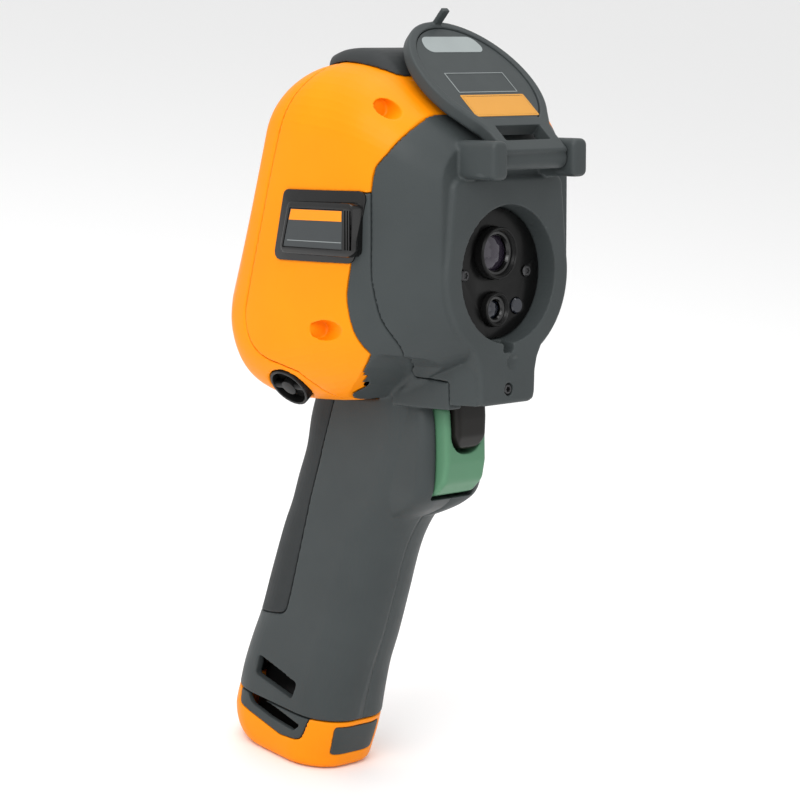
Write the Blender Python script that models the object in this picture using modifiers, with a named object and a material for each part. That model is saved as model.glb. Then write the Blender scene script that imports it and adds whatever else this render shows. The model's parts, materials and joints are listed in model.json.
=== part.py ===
"""Pistol-grip thermal imaging camera, modelled as separate parts.

Everything is built in the optical frame: x to the right seen from the display, y backwards along
the lens axis, z up, with the origin at the centre of the lens ring's front face. An empty tilts
that frame by STAND_TILT so that the object stands flat on its battery base at z = 0.
Lengths are in millimetres and are multiplied by MM where a mesh or a location is made.
"""
import bpy
import bmesh
from math import acos, asin, atan2, cos, degrees, hypot, pi, radians, sin
from mathutils import Matrix, Vector

MM = 0.001

# ------------------------------------------------------------------ driving dimensions (mm, degrees)
STAND_TILT = 10.0          # lens axis above the horizontal when the object stands on its base
LENS_HEIGHT = 200.0        # lens axis above the base plane, along the base's normal
BASE_TO_LENS_Y = -45.735   # centre of the outer box to the lens ring, along the floor
GAP = 0.3                  # clearance between parts that meet
WALL = 2.4                 # casing wall

RING_R = 31.4              # lens ring
RECESS_R = 24.2            # mouth of the lens recess
RECESS_FLOOR_R = 23.2
RECESS_DEPTH = 7.0
CHIN_BOTTOM = -45.6

LUG_INNER, LUG_OUTER = 16.8, 24.2
LUG_FRONT, LUG_Z = -14.8, 40.4
HINGE_Y, HINGE_Z = -8.4, 40.2
COVER_OPEN = 132.0         # turn of the cover about +x from closed to its open rest
COVER_HALF, COVER_REACH = 27.4, 29.0  # half width and half length of the cover's disc
COVER_CENTRE = 36.2        # hinge axis to the centre of the cover's disc
COVER_INNER = 5.3          # hinge axis to the cover's inner face
COVER_THICK = 5.0

FACE_Y, FACE_Z, FACE_LEAN = 86.26, 10.0, 18.17  # display face: a point on it and its lean
WINDOW_W, WINDOW_H, WINDOW_V = 71.0, 53.5, 25.4

GRIP_LEAN = 20.5           # handle axis from the vertical, bottom backwards

IR_X, IR_Z, IR_R = -1.2, 7.2, 9.2
CAM_X, CAM_Z, CAM_R = -1.0, -12.6, 6.0
SPOT_X, SPOT_Z, SPOT_R = 11.0, -12.0, 2.8
PLATE_SCREW_X = 16.0

TRIGGER_HALF, UPPER_HALF = 10.3, 7.4
MAIN_PIVOT = (34.4, -44.6)         # (y, z) of the green trigger's pin
UPPER_PIVOT = (24.4, -43.2)        # (y, z) of the upper trigger's pin
GRIP_WALL = 3.6
PAD_DEPTH = 1.9
CELL_R, CELL_LENGTH = 8.9, 65.0

# ribs of the head: top point (y, z), bottom point (y, z), half width, top and bottom corner radius
HEAD_RIBS = [
    ((2, 45.5), (2, -29.6), 32.3, 14, 28),
    ((10, 53.6), (10, -32), 39.0, 17, 26),
    ((19, 61.6), (20, -36.0), 44.5, 20, 25),
    ((28, 68.4), (32, -41.5), 48.2, 23, 25),
    ((38, 72.6), (45, -45.4), 50.0, 25, 25),
    ((46, 73.6), (60, -46.4), 50.8, 25, 23),
    ((51.5, 73.4), (76, -45.6), 51.2, 24, 20),
    ((59.5, 71.6), (87, -40.8), 50.8, 22, 18),
    ((65.6, 67.8), (93.6, -32.0), 49.2, 19, 17),
    ((69.0, 62.6), (96.9, -22.4), 45.5, 14, 14),
]
# ribs of the handle: front point (y, z), rear point (y, z), half width, front and rear corner radius
GRIP_RIBS = [
    ((31, -37), (82.5, -35), 18.6, 16, 16),
    ((27.5, -48.5), (86.8, -46.0), 18.4, 16, 16),
    ((27.5, -58), (90.3, -56), 18.2, 16, 16),
    ((30.5, -70), (92.8, -67), 18.0, 16, 16),
    ((35.5, -82), (97.3, -78), 17.8, 16, 16),
    ((44.5, -93), (101.1, -88), 17.6, 16, 16),
    ((50.5, -104), (105.7, -98), 17.6, 16, 16),
    ((56.6, -122), (112.2, -115.5), 17.8, 16, 16),
    ((62.1, -138), (117.5, -130.5), 18.0, 16, 16),
    ((66.7, -149), (122.1, -141.0), 18.4, 16, 16),
    ((70.3, -160), (125.8, -151.5), 19.2, 16, 16),
    ((73.0, -169.8), (128.0, -160.0), 19.6, 15.5, 16),
]


def above_base(y, height):
    """The (y, z) of a point at a height above the plane that the object stands on."""
    tilt = radians(STAND_TILT)
    return (y, (height - LENS_HEIGHT + y * sin(tilt)) / cos(tilt))


BATTERY_RIBS = [
    ((73.4, -170.2), (128.1, -160.4), 19.6, 15.5, 16),
    ((76.0, -177.4), (129.8, -168.0), 20.0, 15.5, 16),
    ((78.2, -183.2), (128.6, -174.8), 19.8, 15.5, 16),
    ((79.6, -187.4), (126.0, -178.9), 18.8, 15, 15.5),
    (above_base(82.0, 0), above_base(122.2, 0), 16.6, 14, 14),
]

YELLOW = (0.955, 0.37, 0.012)
GREY = (0.078, 0.088, 0.09)
DARK = (0.03, 0.033, 0.034)
BLACK = (0.008, 0.008, 0.008)
GREEN = (0.15, 0.33, 0.2)
STEEL = (0.6, 0.6, 0.6)


# ------------------------------------------------------------------ scene and tree
for old in list(bpy.data.objects):
    bpy.data.objects.remove(old, do_unlink=True)

PARTS = bpy.data.collections.new("thermal_camera")
CUTTERS = bpy.data.collections.new("cutters")
bpy.context.scene.collection.children.link(PARTS)
bpy.context.scene.collection.children.link(CUTTERS)


def empty(name, parent, location, tilt):
    """An empty at a location in mm, turned about x by tilt degrees."""
    frame = bpy.data.objects.new(name, None)
    PARTS.objects.link(frame)
    frame.parent = parent
    frame.location = Vector(location) * MM
    frame.rotation_euler = (radians(tilt), 0, 0)
    return frame


OPTICAL = empty("optical_frame", None, (0, BASE_TO_LENS_Y, LENS_HEIGHT), -STAND_TILT)
FACE = empty("display_frame", OPTICAL, (0, FACE_Y, FACE_Z), FACE_LEAN)
COVER = empty("cover_frame", OPTICAL, (0, HINGE_Y, HINGE_Z), COVER_OPEN)
GRIP_FOOT = (0, 100.0, -165.0)
GRIP = empty("grip_frame", OPTICAL, GRIP_FOOT, GRIP_LEAN)


def material(name, colour, roughness, metallic=0.0, alpha=1.0):
    mat = bpy.data.materials.new(name)
    mat.use_nodes = True
    shader = mat.node_tree.nodes["Principled BSDF"]
    shader.inputs["Base Color"].default_value = (*colour, 1.0)
    shader.inputs["Roughness"].default_value = roughness
    shader.inputs["Metallic"].default_value = metallic
    shader.inputs["Alpha"].default_value = alpha
    return mat


# ------------------------------------------------------------------ outlines
def arc(centre, radius, start, end, steps):
    """Points on a circle from start to end degrees."""
    angles = [radians(start + (end - start) * i / steps) for i in range(steps + 1)]
    return [(centre[0] + radius * cos(a), centre[1] + radius * sin(a)) for a in angles]


def rounded_rect(width, height, radius, centre=(0, 0), steps=4):
    x, y = width / 2 - radius, height / 2 - radius
    corners = [(x, y, 0), (-x, y, 90), (-x, -y, 180), (x, -y, 270)]
    points = []
    for cx, cy, turn in corners:
        points += arc((centre[0] + cx, centre[1] + cy), radius, turn, turn + 90, steps)
    return points


def rounded(points, radii, steps=4):
    """A closed outline with its corners rounded; radii holds one radius for each corner."""
    result = []
    count = len(points)
    for i in range(count):
        corner = Vector(points[i])
        before = (Vector(points[i - 1]) - corner).normalized()
        after = (Vector(points[(i + 1) % count]) - corner).normalized()
        radius = radii[i]
        if radius == 0:
            result.append(tuple(corner))
            continue
        half = acos(max(-1.0, min(1.0, before.dot(after)))) / 2
        centre = corner + (before + after).normalized() * radius / sin(half)
        start = corner + before * radius / (sin(half) / cos(half)) - centre
        end = corner + after * radius / (sin(half) / cos(half)) - centre
        a0 = atan2(start.y, start.x)
        turn = atan2(end.y, end.x) - a0
        turn = (turn + pi) % (2 * pi) - pi
        for k in range(steps + 1):
            a = a0 + turn * k / steps
            result.append((centre.x + radius * cos(a), centre.y + radius * sin(a)))
    return result


def smooth(points, steps=4):
    """A Catmull-Rom curve through the points, ends included."""
    ends = [points[0]] + list(points) + [points[-1]]
    result = []
    for p0, p1, p2, p3 in zip(ends, ends[1:], ends[2:], ends[3:]):
        for k in range(steps):
            t = k / steps
            weights = (
                -0.5 * t + t * t - 0.5 * t ** 3,
                1 - 2.5 * t * t + 1.5 * t ** 3,
                0.5 * t + 2 * t * t - 1.5 * t ** 3,
                -0.5 * t * t + 0.5 * t ** 3,
            )
            result.append(tuple(sum(w * p[i] for w, p in zip(weights, (p0, p1, p2, p3))) for i in (0, 1)))
    return result + [points[-1]]


def grown(outline, distance):
    """The outline moved outwards along its corner normals; negative moves it inwards."""
    area = sum(a[0] * b[1] - b[0] * a[1] for a, b in zip(outline, outline[1:] + outline[:1]))
    side = 1 if area > 0 else -1
    result = []
    for i, point in enumerate(outline):
        before = Vector(point) - Vector(outline[i - 1])
        after = Vector(outline[(i + 1) % len(outline)]) - Vector(point)
        n1 = Vector((before.y, -before.x)).normalized()
        n2 = Vector((after.y, -after.x)).normalized()
        mean = (n1 + n2).normalized()
        stretch = min(1.6, 1 / max(0.3, mean.dot(n1)))
        result.append(tuple(Vector(point) + mean * side * distance * stretch))
    return result


# ------------------------------------------------------------------ solids
def finish_object(name, bm, mat, parent, location=(0, 0, 0), cutter=False):
    mesh = bpy.data.meshes.new(name)
    bmesh.ops.recalc_face_normals(bm, faces=bm.faces)
    bm.to_mesh(mesh)
    bm.free()
    obj = bpy.data.objects.new(name, mesh)
    (CUTTERS if cutter else PARTS).objects.link(obj)
    obj.parent = parent
    obj.location = Vector(location) * MM
    if cutter:
        obj.hide_render = True
        obj.display_type = "WIRE"
    else:
        mesh.materials.append(mat)
        mesh.shade_smooth()
        mesh.set_sharp_from_angle(angle=radians(35))
    return obj


def add_skin(bm, rings):
    """A closed skin over rings of equal count, with a flat face on each end."""
    loops = [[bm.verts.new(Vector(p) * MM) for p in ring] for ring in rings]
    for low, high in zip(loops, loops[1:]):
        for i in range(len(low)):
            j = (i + 1) % len(low)
            bm.faces.new((low[i], low[j], high[j], high[i]))
    bm.faces.new(loops[0])
    bm.faces.new(loops[-1])


def on_plane(plane, u, v, height):
    if plane == "XZ":
        return (u, height, v)
    if plane == "XY":
        return (u, v, height)
    return (height, u, v)


def prism_rings(plane, outline, low, high, round_low=0.0, round_high=0.0, steps=2):
    """Rings of an extruded outline whose end edges are rounded over."""
    rings = []
    if round_low:
        for k in range(steps):
            a = pi / 2 * k / steps
            ring = grown(outline, -round_low * (1 - sin(a)))
            rings.append([on_plane(plane, u, v, low + round_low * (1 - cos(a))) for u, v in ring])
    rings.append([on_plane(plane, u, v, low + round_low) for u, v in outline])
    rings.append([on_plane(plane, u, v, high - round_high) for u, v in outline])
    if round_high:
        for k in reversed(range(steps)):
            a = pi / 2 * k / steps
            ring = grown(outline, -round_high * (1 - sin(a)))
            rings.append([on_plane(plane, u, v, high - round_high * (1 - cos(a))) for u, v in ring])
    return rings


def prism(name, mat, parent, plane, outline, low, high, round_low=0.0, round_high=0.0,
          location=(0, 0, 0), cutter=False):
    bm = bmesh.new()
    add_skin(bm, prism_rings(plane, outline, low, high, round_low, round_high))
    return finish_object(name, bm, mat, parent, location, cutter)


def rib_ring(start, end, half_width, r_start, r_end, steps=5):
    """A rounded rectangle in the plane of x and the line from start to end, both (y, z)."""
    length = hypot(end[0] - start[0], end[1] - start[1])
    along = ((end[0] - start[0]) / length, (end[1] - start[1]) / length)
    r0, r1 = min(r_start, half_width), min(r_end, half_width)
    corners = [
        (half_width - r0, r0, r0, 270), (half_width - r1, length - r1, r1, 0),
        (r1 - half_width, length - r1, r1, 90), (r0 - half_width, r0, r0, 180),
    ]
    ring = []
    for cx, cu, radius, turn in corners:
        for x, u in arc((cx, cu), radius, turn, turn + 90, steps):
            ring.append((x, start[0] + along[0] * u, start[1] + along[1] * u))
    return ring


def inset_rib(rib, inset):
    start, end, half_width, r0, r1 = rib
    length = hypot(end[0] - start[0], end[1] - start[1])
    dy, dz = (end[0] - start[0]) / length * inset, (end[1] - start[1]) / length * inset
    return ((start[0] + dy, start[1] + dz), (end[0] - dy, end[1] - dz),
            half_width - inset, max(2, r0 - inset), max(2, r1 - inset))


def moved_rib(rib, dy, dz):
    start, end, half_width, r0, r1 = rib
    return ((start[0] + dy, start[1] + dz), (end[0] + dy, end[1] + dz), half_width, r0, r1)


def loft(name, mat, parent, ribs, cutter=False):
    bm = bmesh.new()
    add_skin(bm, [rib_ring(*rib) for rib in ribs])
    return finish_object(name, bm, mat, parent, cutter=cutter)


AXES = {"X": Matrix.Rotation(pi / 2, 4, "Y"), "Y": Matrix.Rotation(-pi / 2, 4, "X"), "Z": Matrix()}


def add_rod(bm, axis, radius, start, length, segments=32, radius_end=None):
    """A cylinder or cone that runs from start along axis."""
    turn = AXES[axis]
    middle = Vector(start) * MM + turn @ Vector((0, 0, length / 2 * MM))
    bmesh.ops.create_cone(
        bm, cap_ends=True, segments=segments, radius1=radius * MM,
        radius2=(radius if radius_end is None else radius_end) * MM,
        depth=length * MM, matrix=Matrix.Translation(middle) @ turn)


def rod(name, mat, parent, axis, radius, start, length, segments=32, radius_end=None,
        location=(0, 0, 0), cutter=False):
    bm = bmesh.new()
    add_rod(bm, axis, radius, start, length, segments, radius_end)
    return finish_object(name, bm, mat, parent, location, cutter)


def box(name, mat, parent, low, high, bevel=0.0, location=(0, 0, 0), cutter=False):
    bm = bmesh.new()
    size = Vector(high) - Vector(low)
    place = Matrix.Translation((Vector(high) + Vector(low)) / 2 * MM) @ Matrix.Diagonal((*(size * MM), 1))
    bmesh.ops.create_cube(bm, size=1.0, matrix=place)
    if bevel:
        bmesh.ops.bevel(bm, geom=bm.edges[:], offset=bevel * MM, segments=2, affect="EDGES", profile=0.5)
    return finish_object(name, bm, mat, parent, location, cutter)


def turned(name, mat, parent, profile, axis="Y", location=(0, 0, 0), steps=32, cutter=False):
    """A profile of (radius, height), listed up its outer side, turned about an axis."""
    bm = bmesh.new()
    verts = [bm.verts.new(Vector((r, 0, h)) * MM) for r, h in reversed(profile)]
    for a, b in zip(verts, verts[1:] + verts[:1]):
        if a.co.x > 0 or b.co.x > 0:
            bm.edges.new((a, b))
    mesh = bpy.data.meshes.new(name)
    bm.to_mesh(mesh)
    bm.free()
    obj = bpy.data.objects.new(name, mesh)
    (CUTTERS if cutter else PARTS).objects.link(obj)
    obj.parent = parent
    obj.location = Vector(location) * MM
    obj.rotation_euler = AXES[axis].to_euler()
    screw = obj.modifiers.new("turn", "SCREW")
    screw.steps = screw.render_steps = steps
    screw.use_merge_vertices = True
    screw.merge_threshold = 0.00001
    if cutter:
        obj.hide_render = True
        obj.display_type = "WIRE"
    else:
        mesh.materials.append(mat)
    return obj


def combine(obj, operation, *others):
    for other in others:
        step = obj.modifiers.new(operation.lower() + "_" + other.name, "BOOLEAN")
        step.operation = operation
        step.object = other
        step.solver = "EXACT"
    return obj


def cut(obj, *others):
    return combine(obj, "DIFFERENCE", *others)


def join(obj, *others):
    return combine(obj, "UNION", *others)


def keep(obj, *others):
    return combine(obj, "INTERSECT", *others)


# ------------------------------------------------------------------ materials
yellow = material("yellow_shell", YELLOW, 0.42)
grey = material("grey_shell", GREY, 0.55)
rubber = material("dark_rubber", DARK, 0.7)
black = material("black_plastic", BLACK, 0.35)
gloss = material("gloss_black", BLACK, 0.12)
green = material("green_trigger", GREEN, 0.5)
steel = material("steel", STEEL, 0.3, 1.0)
glass = material("lens_glass", (0.02, 0.02, 0.025), 0.05)
board = material("board", (0.02, 0.12, 0.05), 0.5)
cell_foil = material("cell_foil", (0.3, 0.32, 0.34), 0.4)

# ------------------------------------------------------------------ regions seen from the side, as (y, z)
FAR = 120.0
BROW = smooth([(12.5, 58), (13.2, 51), (17, 43.4), (21.4, 37.4), (22.8, 29.2)])
NOTCH = [(58.6, 28.9), (64.0, 5.4), (30.2, 5.2)]
CHEEK = smooth([(30.2, 5.2), (32.2, -6.2), (30.6, -15.8), (28.2, -22.4), (25.9, -26.6)])
TAIL = [(28.7, -30.3), (34, -35.8), (40, -40.3), (45.4, -44.0), (47, -52)]
PARTING = ([(53, FAR), (53.5, 72)] + smooth([(58.3, 62), (65.8, 39.3), (72.5, 16), (79.6, -9), (80.6, -17),
                                             (78, -25), (72, -30), (64, -32.6)])
           + [(57, -34.8), (52.6, -39.5), (49.4, -45), (49.2, -52)])
SEAM = (smooth([(22.8, 29.2), (22.8, 16.5), (22.8, 2), (22, -5), (19.9, -13.6), (17.9, -18.8), (16.6, -23.4),
                (17.2, -27), (21.4, -30.6), (26.0, -34.2)]) + [(26.4, -36.4), (13.2, -37.6), (12.6, -52)])

YELLOW_REGION = [(12.5, FAR)] + BROW + NOTCH + CHEEK[1:] + TAIL + list(reversed(PARTING))[:-1]
BEZEL_REGION = PARTING + [(FAR, -60), (FAR, FAR)]
FRONT_REGION = [(-FAR, FAR), (12.5, FAR)] + BROW + SEAM[1:] + [(-FAR, -52)]
NECK_REGION = BROW[-1:] + NOTCH + CHEEK[1:] + TAIL + list(reversed(SEAM))[:-1]

# plan of the front and the handle under the cheeks, as (height, half widths at five depths)
UNDERCUT = [
    (-21, [(60, 5), (60, 14), (60, 20), (60, 25), (60, 30)]),
    (-26, [(40, 5), (40, 14), (42, 20), (46, 25), (60, 30)]),
    (-29, [(26, 5), (28, 14), (31, 20), (38, 25), (60, 31)]),
    (-32, [(20, 5), (21.5, 14), (24, 21), (30, 26), (60, 34)]),
    (-36, [(17, 5), (18.5, 14), (20.5, 25), (25, 31), (60, 38)]),
    (-40, [(15, 5), (17.8, 14), (19.2, 30), (23, 37), (60, 43)]),
    (-46, [(14.5, 5), (17.6, 14), (18.8, 36), (21, 44), (60, 50)]),
    (-58, [(14.5, 5), (17.6, 14), (18.8, 36), (21, 44), (60, 50)]),
]


def region(name, outline):
    return prism(name, None, OPTICAL, "YZ", grown(outline, -GAP / 2), -70, 70, cutter=True)


def undercut_ring(height, side_points):
    """A closed ring at a height: the side points, open to the front and rear, with their mirror image."""
    right = [(side_points[0][0], -30)] + side_points + [(60, FAR)]
    return [(x, y, height) for x, y in right] + [(-x, y, height) for x, y in reversed(right)]


def cavity_ribs():
    """The head's ribs moved inwards by the wall thickness, and clear of the flat front and rear faces."""
    first = inset_rib(HEAD_RIBS[0], WALL)
    last, rear = inset_rib(HEAD_RIBS[-2], WALL), inset_rib(HEAD_RIBS[-1], WALL)
    middle = [inset_rib(rib, WALL) for rib in HEAD_RIBS[1:-2]]
    return [moved_rib(first, 2.6, 0)] + middle + [moved_rib(last, -1.4, -0.4), moved_rib(rear, -WALL, -0.9)]


def undercut_body(name, wall):
    """What the front and the handle keep under the cheeks, moved inwards by a wall thickness."""
    rows = [(height + wall, [(half - wall, y) for half, y in side]) for height, side in UNDERCUT]
    bm = bmesh.new()
    add_skin(bm, [undercut_ring(60, rows[0][1])] + [undercut_ring(*row) for row in rows])
    return finish_object(name, bm, None, OPTICAL, cutter=True)


head_cavity = loft("head_cavity", None, OPTICAL, cavity_ribs(), cutter=True)
undercut = undercut_body("undercut", 0)
neck_cavity = loft("neck_cavity", None, OPTICAL, cavity_ribs(), cutter=True)
keep(neck_cavity, undercut_body("undercut_inside", WALL))

# ------------------------------------------------------------------ rear bezel and side shell
bezel = loft("rear_bezel", yellow, OPTICAL, HEAD_RIBS)
bezel_region = region("bezel_region", BEZEL_REGION)
keep(bezel, bezel_region)
cut(bezel, head_cavity)
window_outline = rounded_rect(WINDOW_W, WINDOW_H, 4, (0, WINDOW_V))
cut(bezel, prism("window_cut", None, FACE, "XZ", window_outline, -6, 3, cutter=True))

KEY_HEIGHT = 6.4
KEY_ROW_V, PAD_V = -9.6, -22.2
KEYS = {
    "key_left_soft": (-22, KEY_ROW_V, 15, KEY_HEIGHT),
    "key_middle_soft": (0, KEY_ROW_V, 15, KEY_HEIGHT),
    "key_right_soft": (22, KEY_ROW_V, 15, KEY_HEIGHT),
    "key_up": (0, PAD_V + 5.2, 10, 5.2),
    "key_down": (0, PAD_V - 5.2, 10, 5.2),
    "key_left": (-11, PAD_V, 7, 8),
    "key_right": (11, PAD_V, 7, 8),
    "key_power": (-27, PAD_V, 9, 7),
    "key_gallery": (27, PAD_V, 9, 7),
}
for key_name, (kx, kv, kw, kh) in KEYS.items():
    hole = rounded_rect(kw + 2 * GAP, kh + 2 * GAP, 1.9, (kx, kv), 2)
    cut(bezel, prism(key_name + "_hole", None, FACE, "XZ", hole, -6, 3, cutter=True))
    cap_outline = rounded_rect(kw, kh, 1.6, (kx, kv), 2)
    key = prism(key_name, rubber, FACE, "XZ", cap_outline, -3.8, 1.1, 0, 0.5)
    flange = rounded_rect(kw + 2.0, kh + 1.6, 1.6, (kx, kv), 1)
    join(key, prism(key_name + "_flange", None, FACE, "XZ", flange, -3.9, -2.9, cutter=True))

head_body = loft("head_body", None, OPTICAL, [inset_rib(rib, 0.4) for rib in HEAD_RIBS], cutter=True)
ANCHOR_TILT, ANCHOR_R = radians(52), 8.4
for sign, hand in ((-1, "left"), (1, "right")):
    centre = Vector((sign * 43.4, 66.0, -41.4))
    turn = Matrix.Rotation(sign * -ANCHOR_TILT, 4, "Y").to_euler()
    dish = rod("anchor_cut_" + hand, None, OPTICAL, "Z", ANCHOR_R, (0, 0, -8), 12.4, 28,
               location=centre, cutter=True)
    seat = rod("anchor_seat_" + hand, None, OPTICAL, "Z", ANCHOR_R + 1.8, (0, 0, 1.4), 5.2, 28,
               location=centre, cutter=True)
    anchor = turned("strap_anchor_" + hand, rubber, OPTICAL,
                    [(ANCHOR_R - 0.4, -0.4), (ANCHOR_R - 0.4, 4.1), (0, 4.1), (0, 3.0), (7.0, 3.0),
                     (7.0, -0.4)],
                    "Z", centre, 28)
    bar = rod("anchor_bar_" + hand, None, OPTICAL, "Y", 1.4, (0, -7.6, 1.2), 15.2, 12,
              location=centre, cutter=True)
    hub = rod("anchor_hub_" + hand, None, OPTICAL, "Z", 3.0, (0, 0, -0.4), 3.9, 20,
              location=centre, cutter=True)
    for obj in (dish, seat, anchor, bar, hub):
        obj.rotation_euler = turn
    keep(seat, head_body)
    join(bezel, seat)
    cut(bezel, dish)
    join(anchor, bar, hub)
keep(bezel, bezel_region)

side = loft("side_shell", yellow, OPTICAL, HEAD_RIBS)
keep(side, region("yellow_region", YELLOW_REGION))
cut(side, head_cavity)
PORT_BAY = ((-17, 37, 60), (17, 53, 80))
cut(side, box("port_bay_cut", None, OPTICAL, *PORT_BAY, cutter=True))
# recesses that the case screws sit in: opening (x, y, z), length and lean from the lens axis
SCREW_SITES = (((39.6, 12.0, 57.7), 14.6, 6), ((53.2, 32.0, -19.0), 16.4, 22))
for (sx, sy, sz), length, lean in SCREW_SITES:
    for sign, hand in ((-1, "left"), (1, "right")):
        recess = rod("screw_recess_%d_%s" % (sz, hand), None, OPTICAL, "Y", 3.5, (0, 0, 0), length, 20,
                     location=(sign * sx, sy, sz), cutter=True)
        recess.rotation_euler = (0, 0, sign * radians(lean))
        cut(side, recess)

# ------------------------------------------------------------------ front housing
def ring_outline():
    """The lens ring's circle with square shoulders above it, running into the narrow chin below."""
    right = [(11.0, CHIN_BOTTOM), (13.2, -44.8), (14.0, -42.4), (14.3, -34.5), (15.4, -30.0)]
    right += arc((0, 0), RING_R, -56, 12, 12) + [(28.4, 29.0), (27.4, 32.4), (24.6, 34.0)]
    return right + [(-x, z) for x, z in reversed(right)]


def neck_outline(low, high):
    """The plan of the block under the head, between two depths: (x, y)."""
    widths = [(3, 14.0), (7, 15.4), (11, 16.8), (16, 17.8), (24, 18.6), (39, 18.8)]
    cut_widths = [(y, w) for y, w in widths if low <= y <= high]
    return [(w, y) for y, w in cut_widths] + [(-w, y) for y, w in reversed(cut_widths)]


front = loft("front_housing", grey, OPTICAL, HEAD_RIBS[:6])
keep(front, undercut)
join(front, prism("ring_block", None, OPTICAL, "XZ", ring_outline(), 0, 7, 1.6, 0, cutter=True))
join(front, prism("chin_block", None, OPTICAL, "XY", neck_outline(3, 24), CHIN_BOTTOM, -26, cutter=True))
front_region = region("front_region", FRONT_REGION)
cut(front, neck_cavity)
join(front, rod("lens_cup", None, OPTICAL, "Y", 27.0, (0, 2.5, 0), 10.0, 48, cutter=True))
for sign, hand in ((-1, "left"), (1, "right")):
    lug_x = sign * (LUG_INNER + LUG_OUTER) / 2
    lug = rounded_rect(LUG_OUTER - LUG_INNER, 13.4, 2.4, (lug_x, LUG_Z), 3)
    join(front, prism("lug_" + hand, None, OPTICAL, "XZ", lug, LUG_FRONT, 9, 1.2, 0, cutter=True))
keep(front, front_region)
cut(front, rod("recess_cut", None, OPTICAL, "Y", RECESS_R + 0.15, (0, -1, 0), 10.2, 48, RECESS_FLOOR_R,
               cutter=True))
cut(front, rod("cup_floor_cut", None, OPTICAL, "Y", 20.8, (0, 5, 0), 9.0, 40, cutter=True))
cut(front, box("hook_notch", None, OPTICAL, (-2.6, -2, -27.4), (2.6, 7.2, -20), cutter=True))
cut(front, rod("pin_bore", None, OPTICAL, "X", 1.8, (-23.2, HINGE_Y, HINGE_Z), 46.4, 20, cutter=True))
cut(front, rod("chin_screw_bore", None, OPTICAL, "Y", 2.3, (0, -1, -40.4), 4.0, 20, cutter=True))
bm = bmesh.new()
bmesh.ops.create_uvsphere(bm, u_segments=20, v_segments=12, radius=4.6 * MM)
cut(front, finish_object("thumb_dimple", bm, None, OPTICAL, (2.0, -3.2, -31.0), cutter=True))

# ------------------------------------------------------------------ lens plate and optics
plate = rod("lens_plate", gloss, OPTICAL, "Y", RECESS_FLOOR_R - 0.5, (0, RECESS_DEPTH, 0), 1.8, 48)
carrier = rod("optics_carrier", black, OPTICAL, "Y", 20.4, (0, 9.4, 0), 2.8, 40)
OPTICS = ((IR_X, IR_Z, IR_R), (CAM_X, CAM_Z, CAM_R), (SPOT_X, SPOT_Z, SPOT_R))
for i, (ox, oz, radius) in enumerate(OPTICS):
    hole = rod("optics_hole_%d" % i, None, OPTICAL, "Y", radius + GAP, (ox, 5, oz), 9, 24, cutter=True)
    cut(plate, hole)
    cut(carrier, hole)
rod("chin_screw", steel, OPTICAL, "Y", 1.9, (0, 0.5, -40.4), 2.0, 20)
for sign, hand in ((-1, "left"), (1, "right")):
    screw_x = sign * PLATE_SCREW_X
    bore = rod("plate_screw_bore_" + hand, None, OPTICAL, "Y", 1.3, (screw_x, 5, 0), 8, 16, cutter=True)
    cut(plate, bore)
    cut(carrier, bore)
    plate_screw = rod("plate_screw_" + hand, steel, OPTICAL, "Y", 2.0, (screw_x, 6.1, 0), 0.6, 20)
    join(plate_screw, rod("screw_shank_" + hand, None, OPTICAL, "Y", 1.0, (screw_x, 6.3, 0), 5.6, 12,
                          cutter=True))

turned("ir_lens_barrel", black, OPTICAL,
       [(IR_R, 3.4), (IR_R, 14.6), (7.6, 14.6), (7.6, 4.2), (8.2, 3.4)], "Y", (IR_X, 0, IR_Z), 36)
turned("ir_lens", glass, OPTICAL,
       [(0, 6.0), (3.5, 6.3), (7.2, 7.4), (7.2, 10.4), (0, 10.4)], "Y", (IR_X, 0, IR_Z), 32)
turned("camera_barrel", black, OPTICAL,
       [(CAM_R, 4.4), (CAM_R, 13.6), (4.6, 13.6), (4.6, 5.2), (5.2, 4.4)], "Y", (CAM_X, 0, CAM_Z), 28)
turned("camera_lens", glass, OPTICAL,
       [(0, 6.8), (2.2, 7.0), (4.2, 7.8), (4.2, 10.0), (0, 10.0)], "Y", (CAM_X, 0, CAM_Z), 24)
turned("pointer_window", glass, OPTICAL,
       [(0, 6.2), (SPOT_R, 6.2), (SPOT_R, 9.0), (0, 9.0)], "Y", (SPOT_X, 0, SPOT_Z), 20)

# ------------------------------------------------------------------ lens cover on its pin
def cover_disc(half, reach, top=None, steps=30):
    """The disc's outline from its right to its left, round the far end; top cuts it off straight."""
    start = 38.0 if top is None else degrees(asin((COVER_CENTRE + top) / reach))
    turn = [radians(start - (180 + 2 * start) * i / steps) for i in range(steps + 1)]
    return [(half * cos(a), -COVER_CENTRE + reach * sin(a)) for a in turn]


def cover_outline():
    neck = [(16.2, 1.0), (16.2, -8.6), (17.6, -12.6)]
    return neck + cover_disc(COVER_HALF, COVER_REACH) + [(-x, z) for x, z in reversed(neck)]


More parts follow.
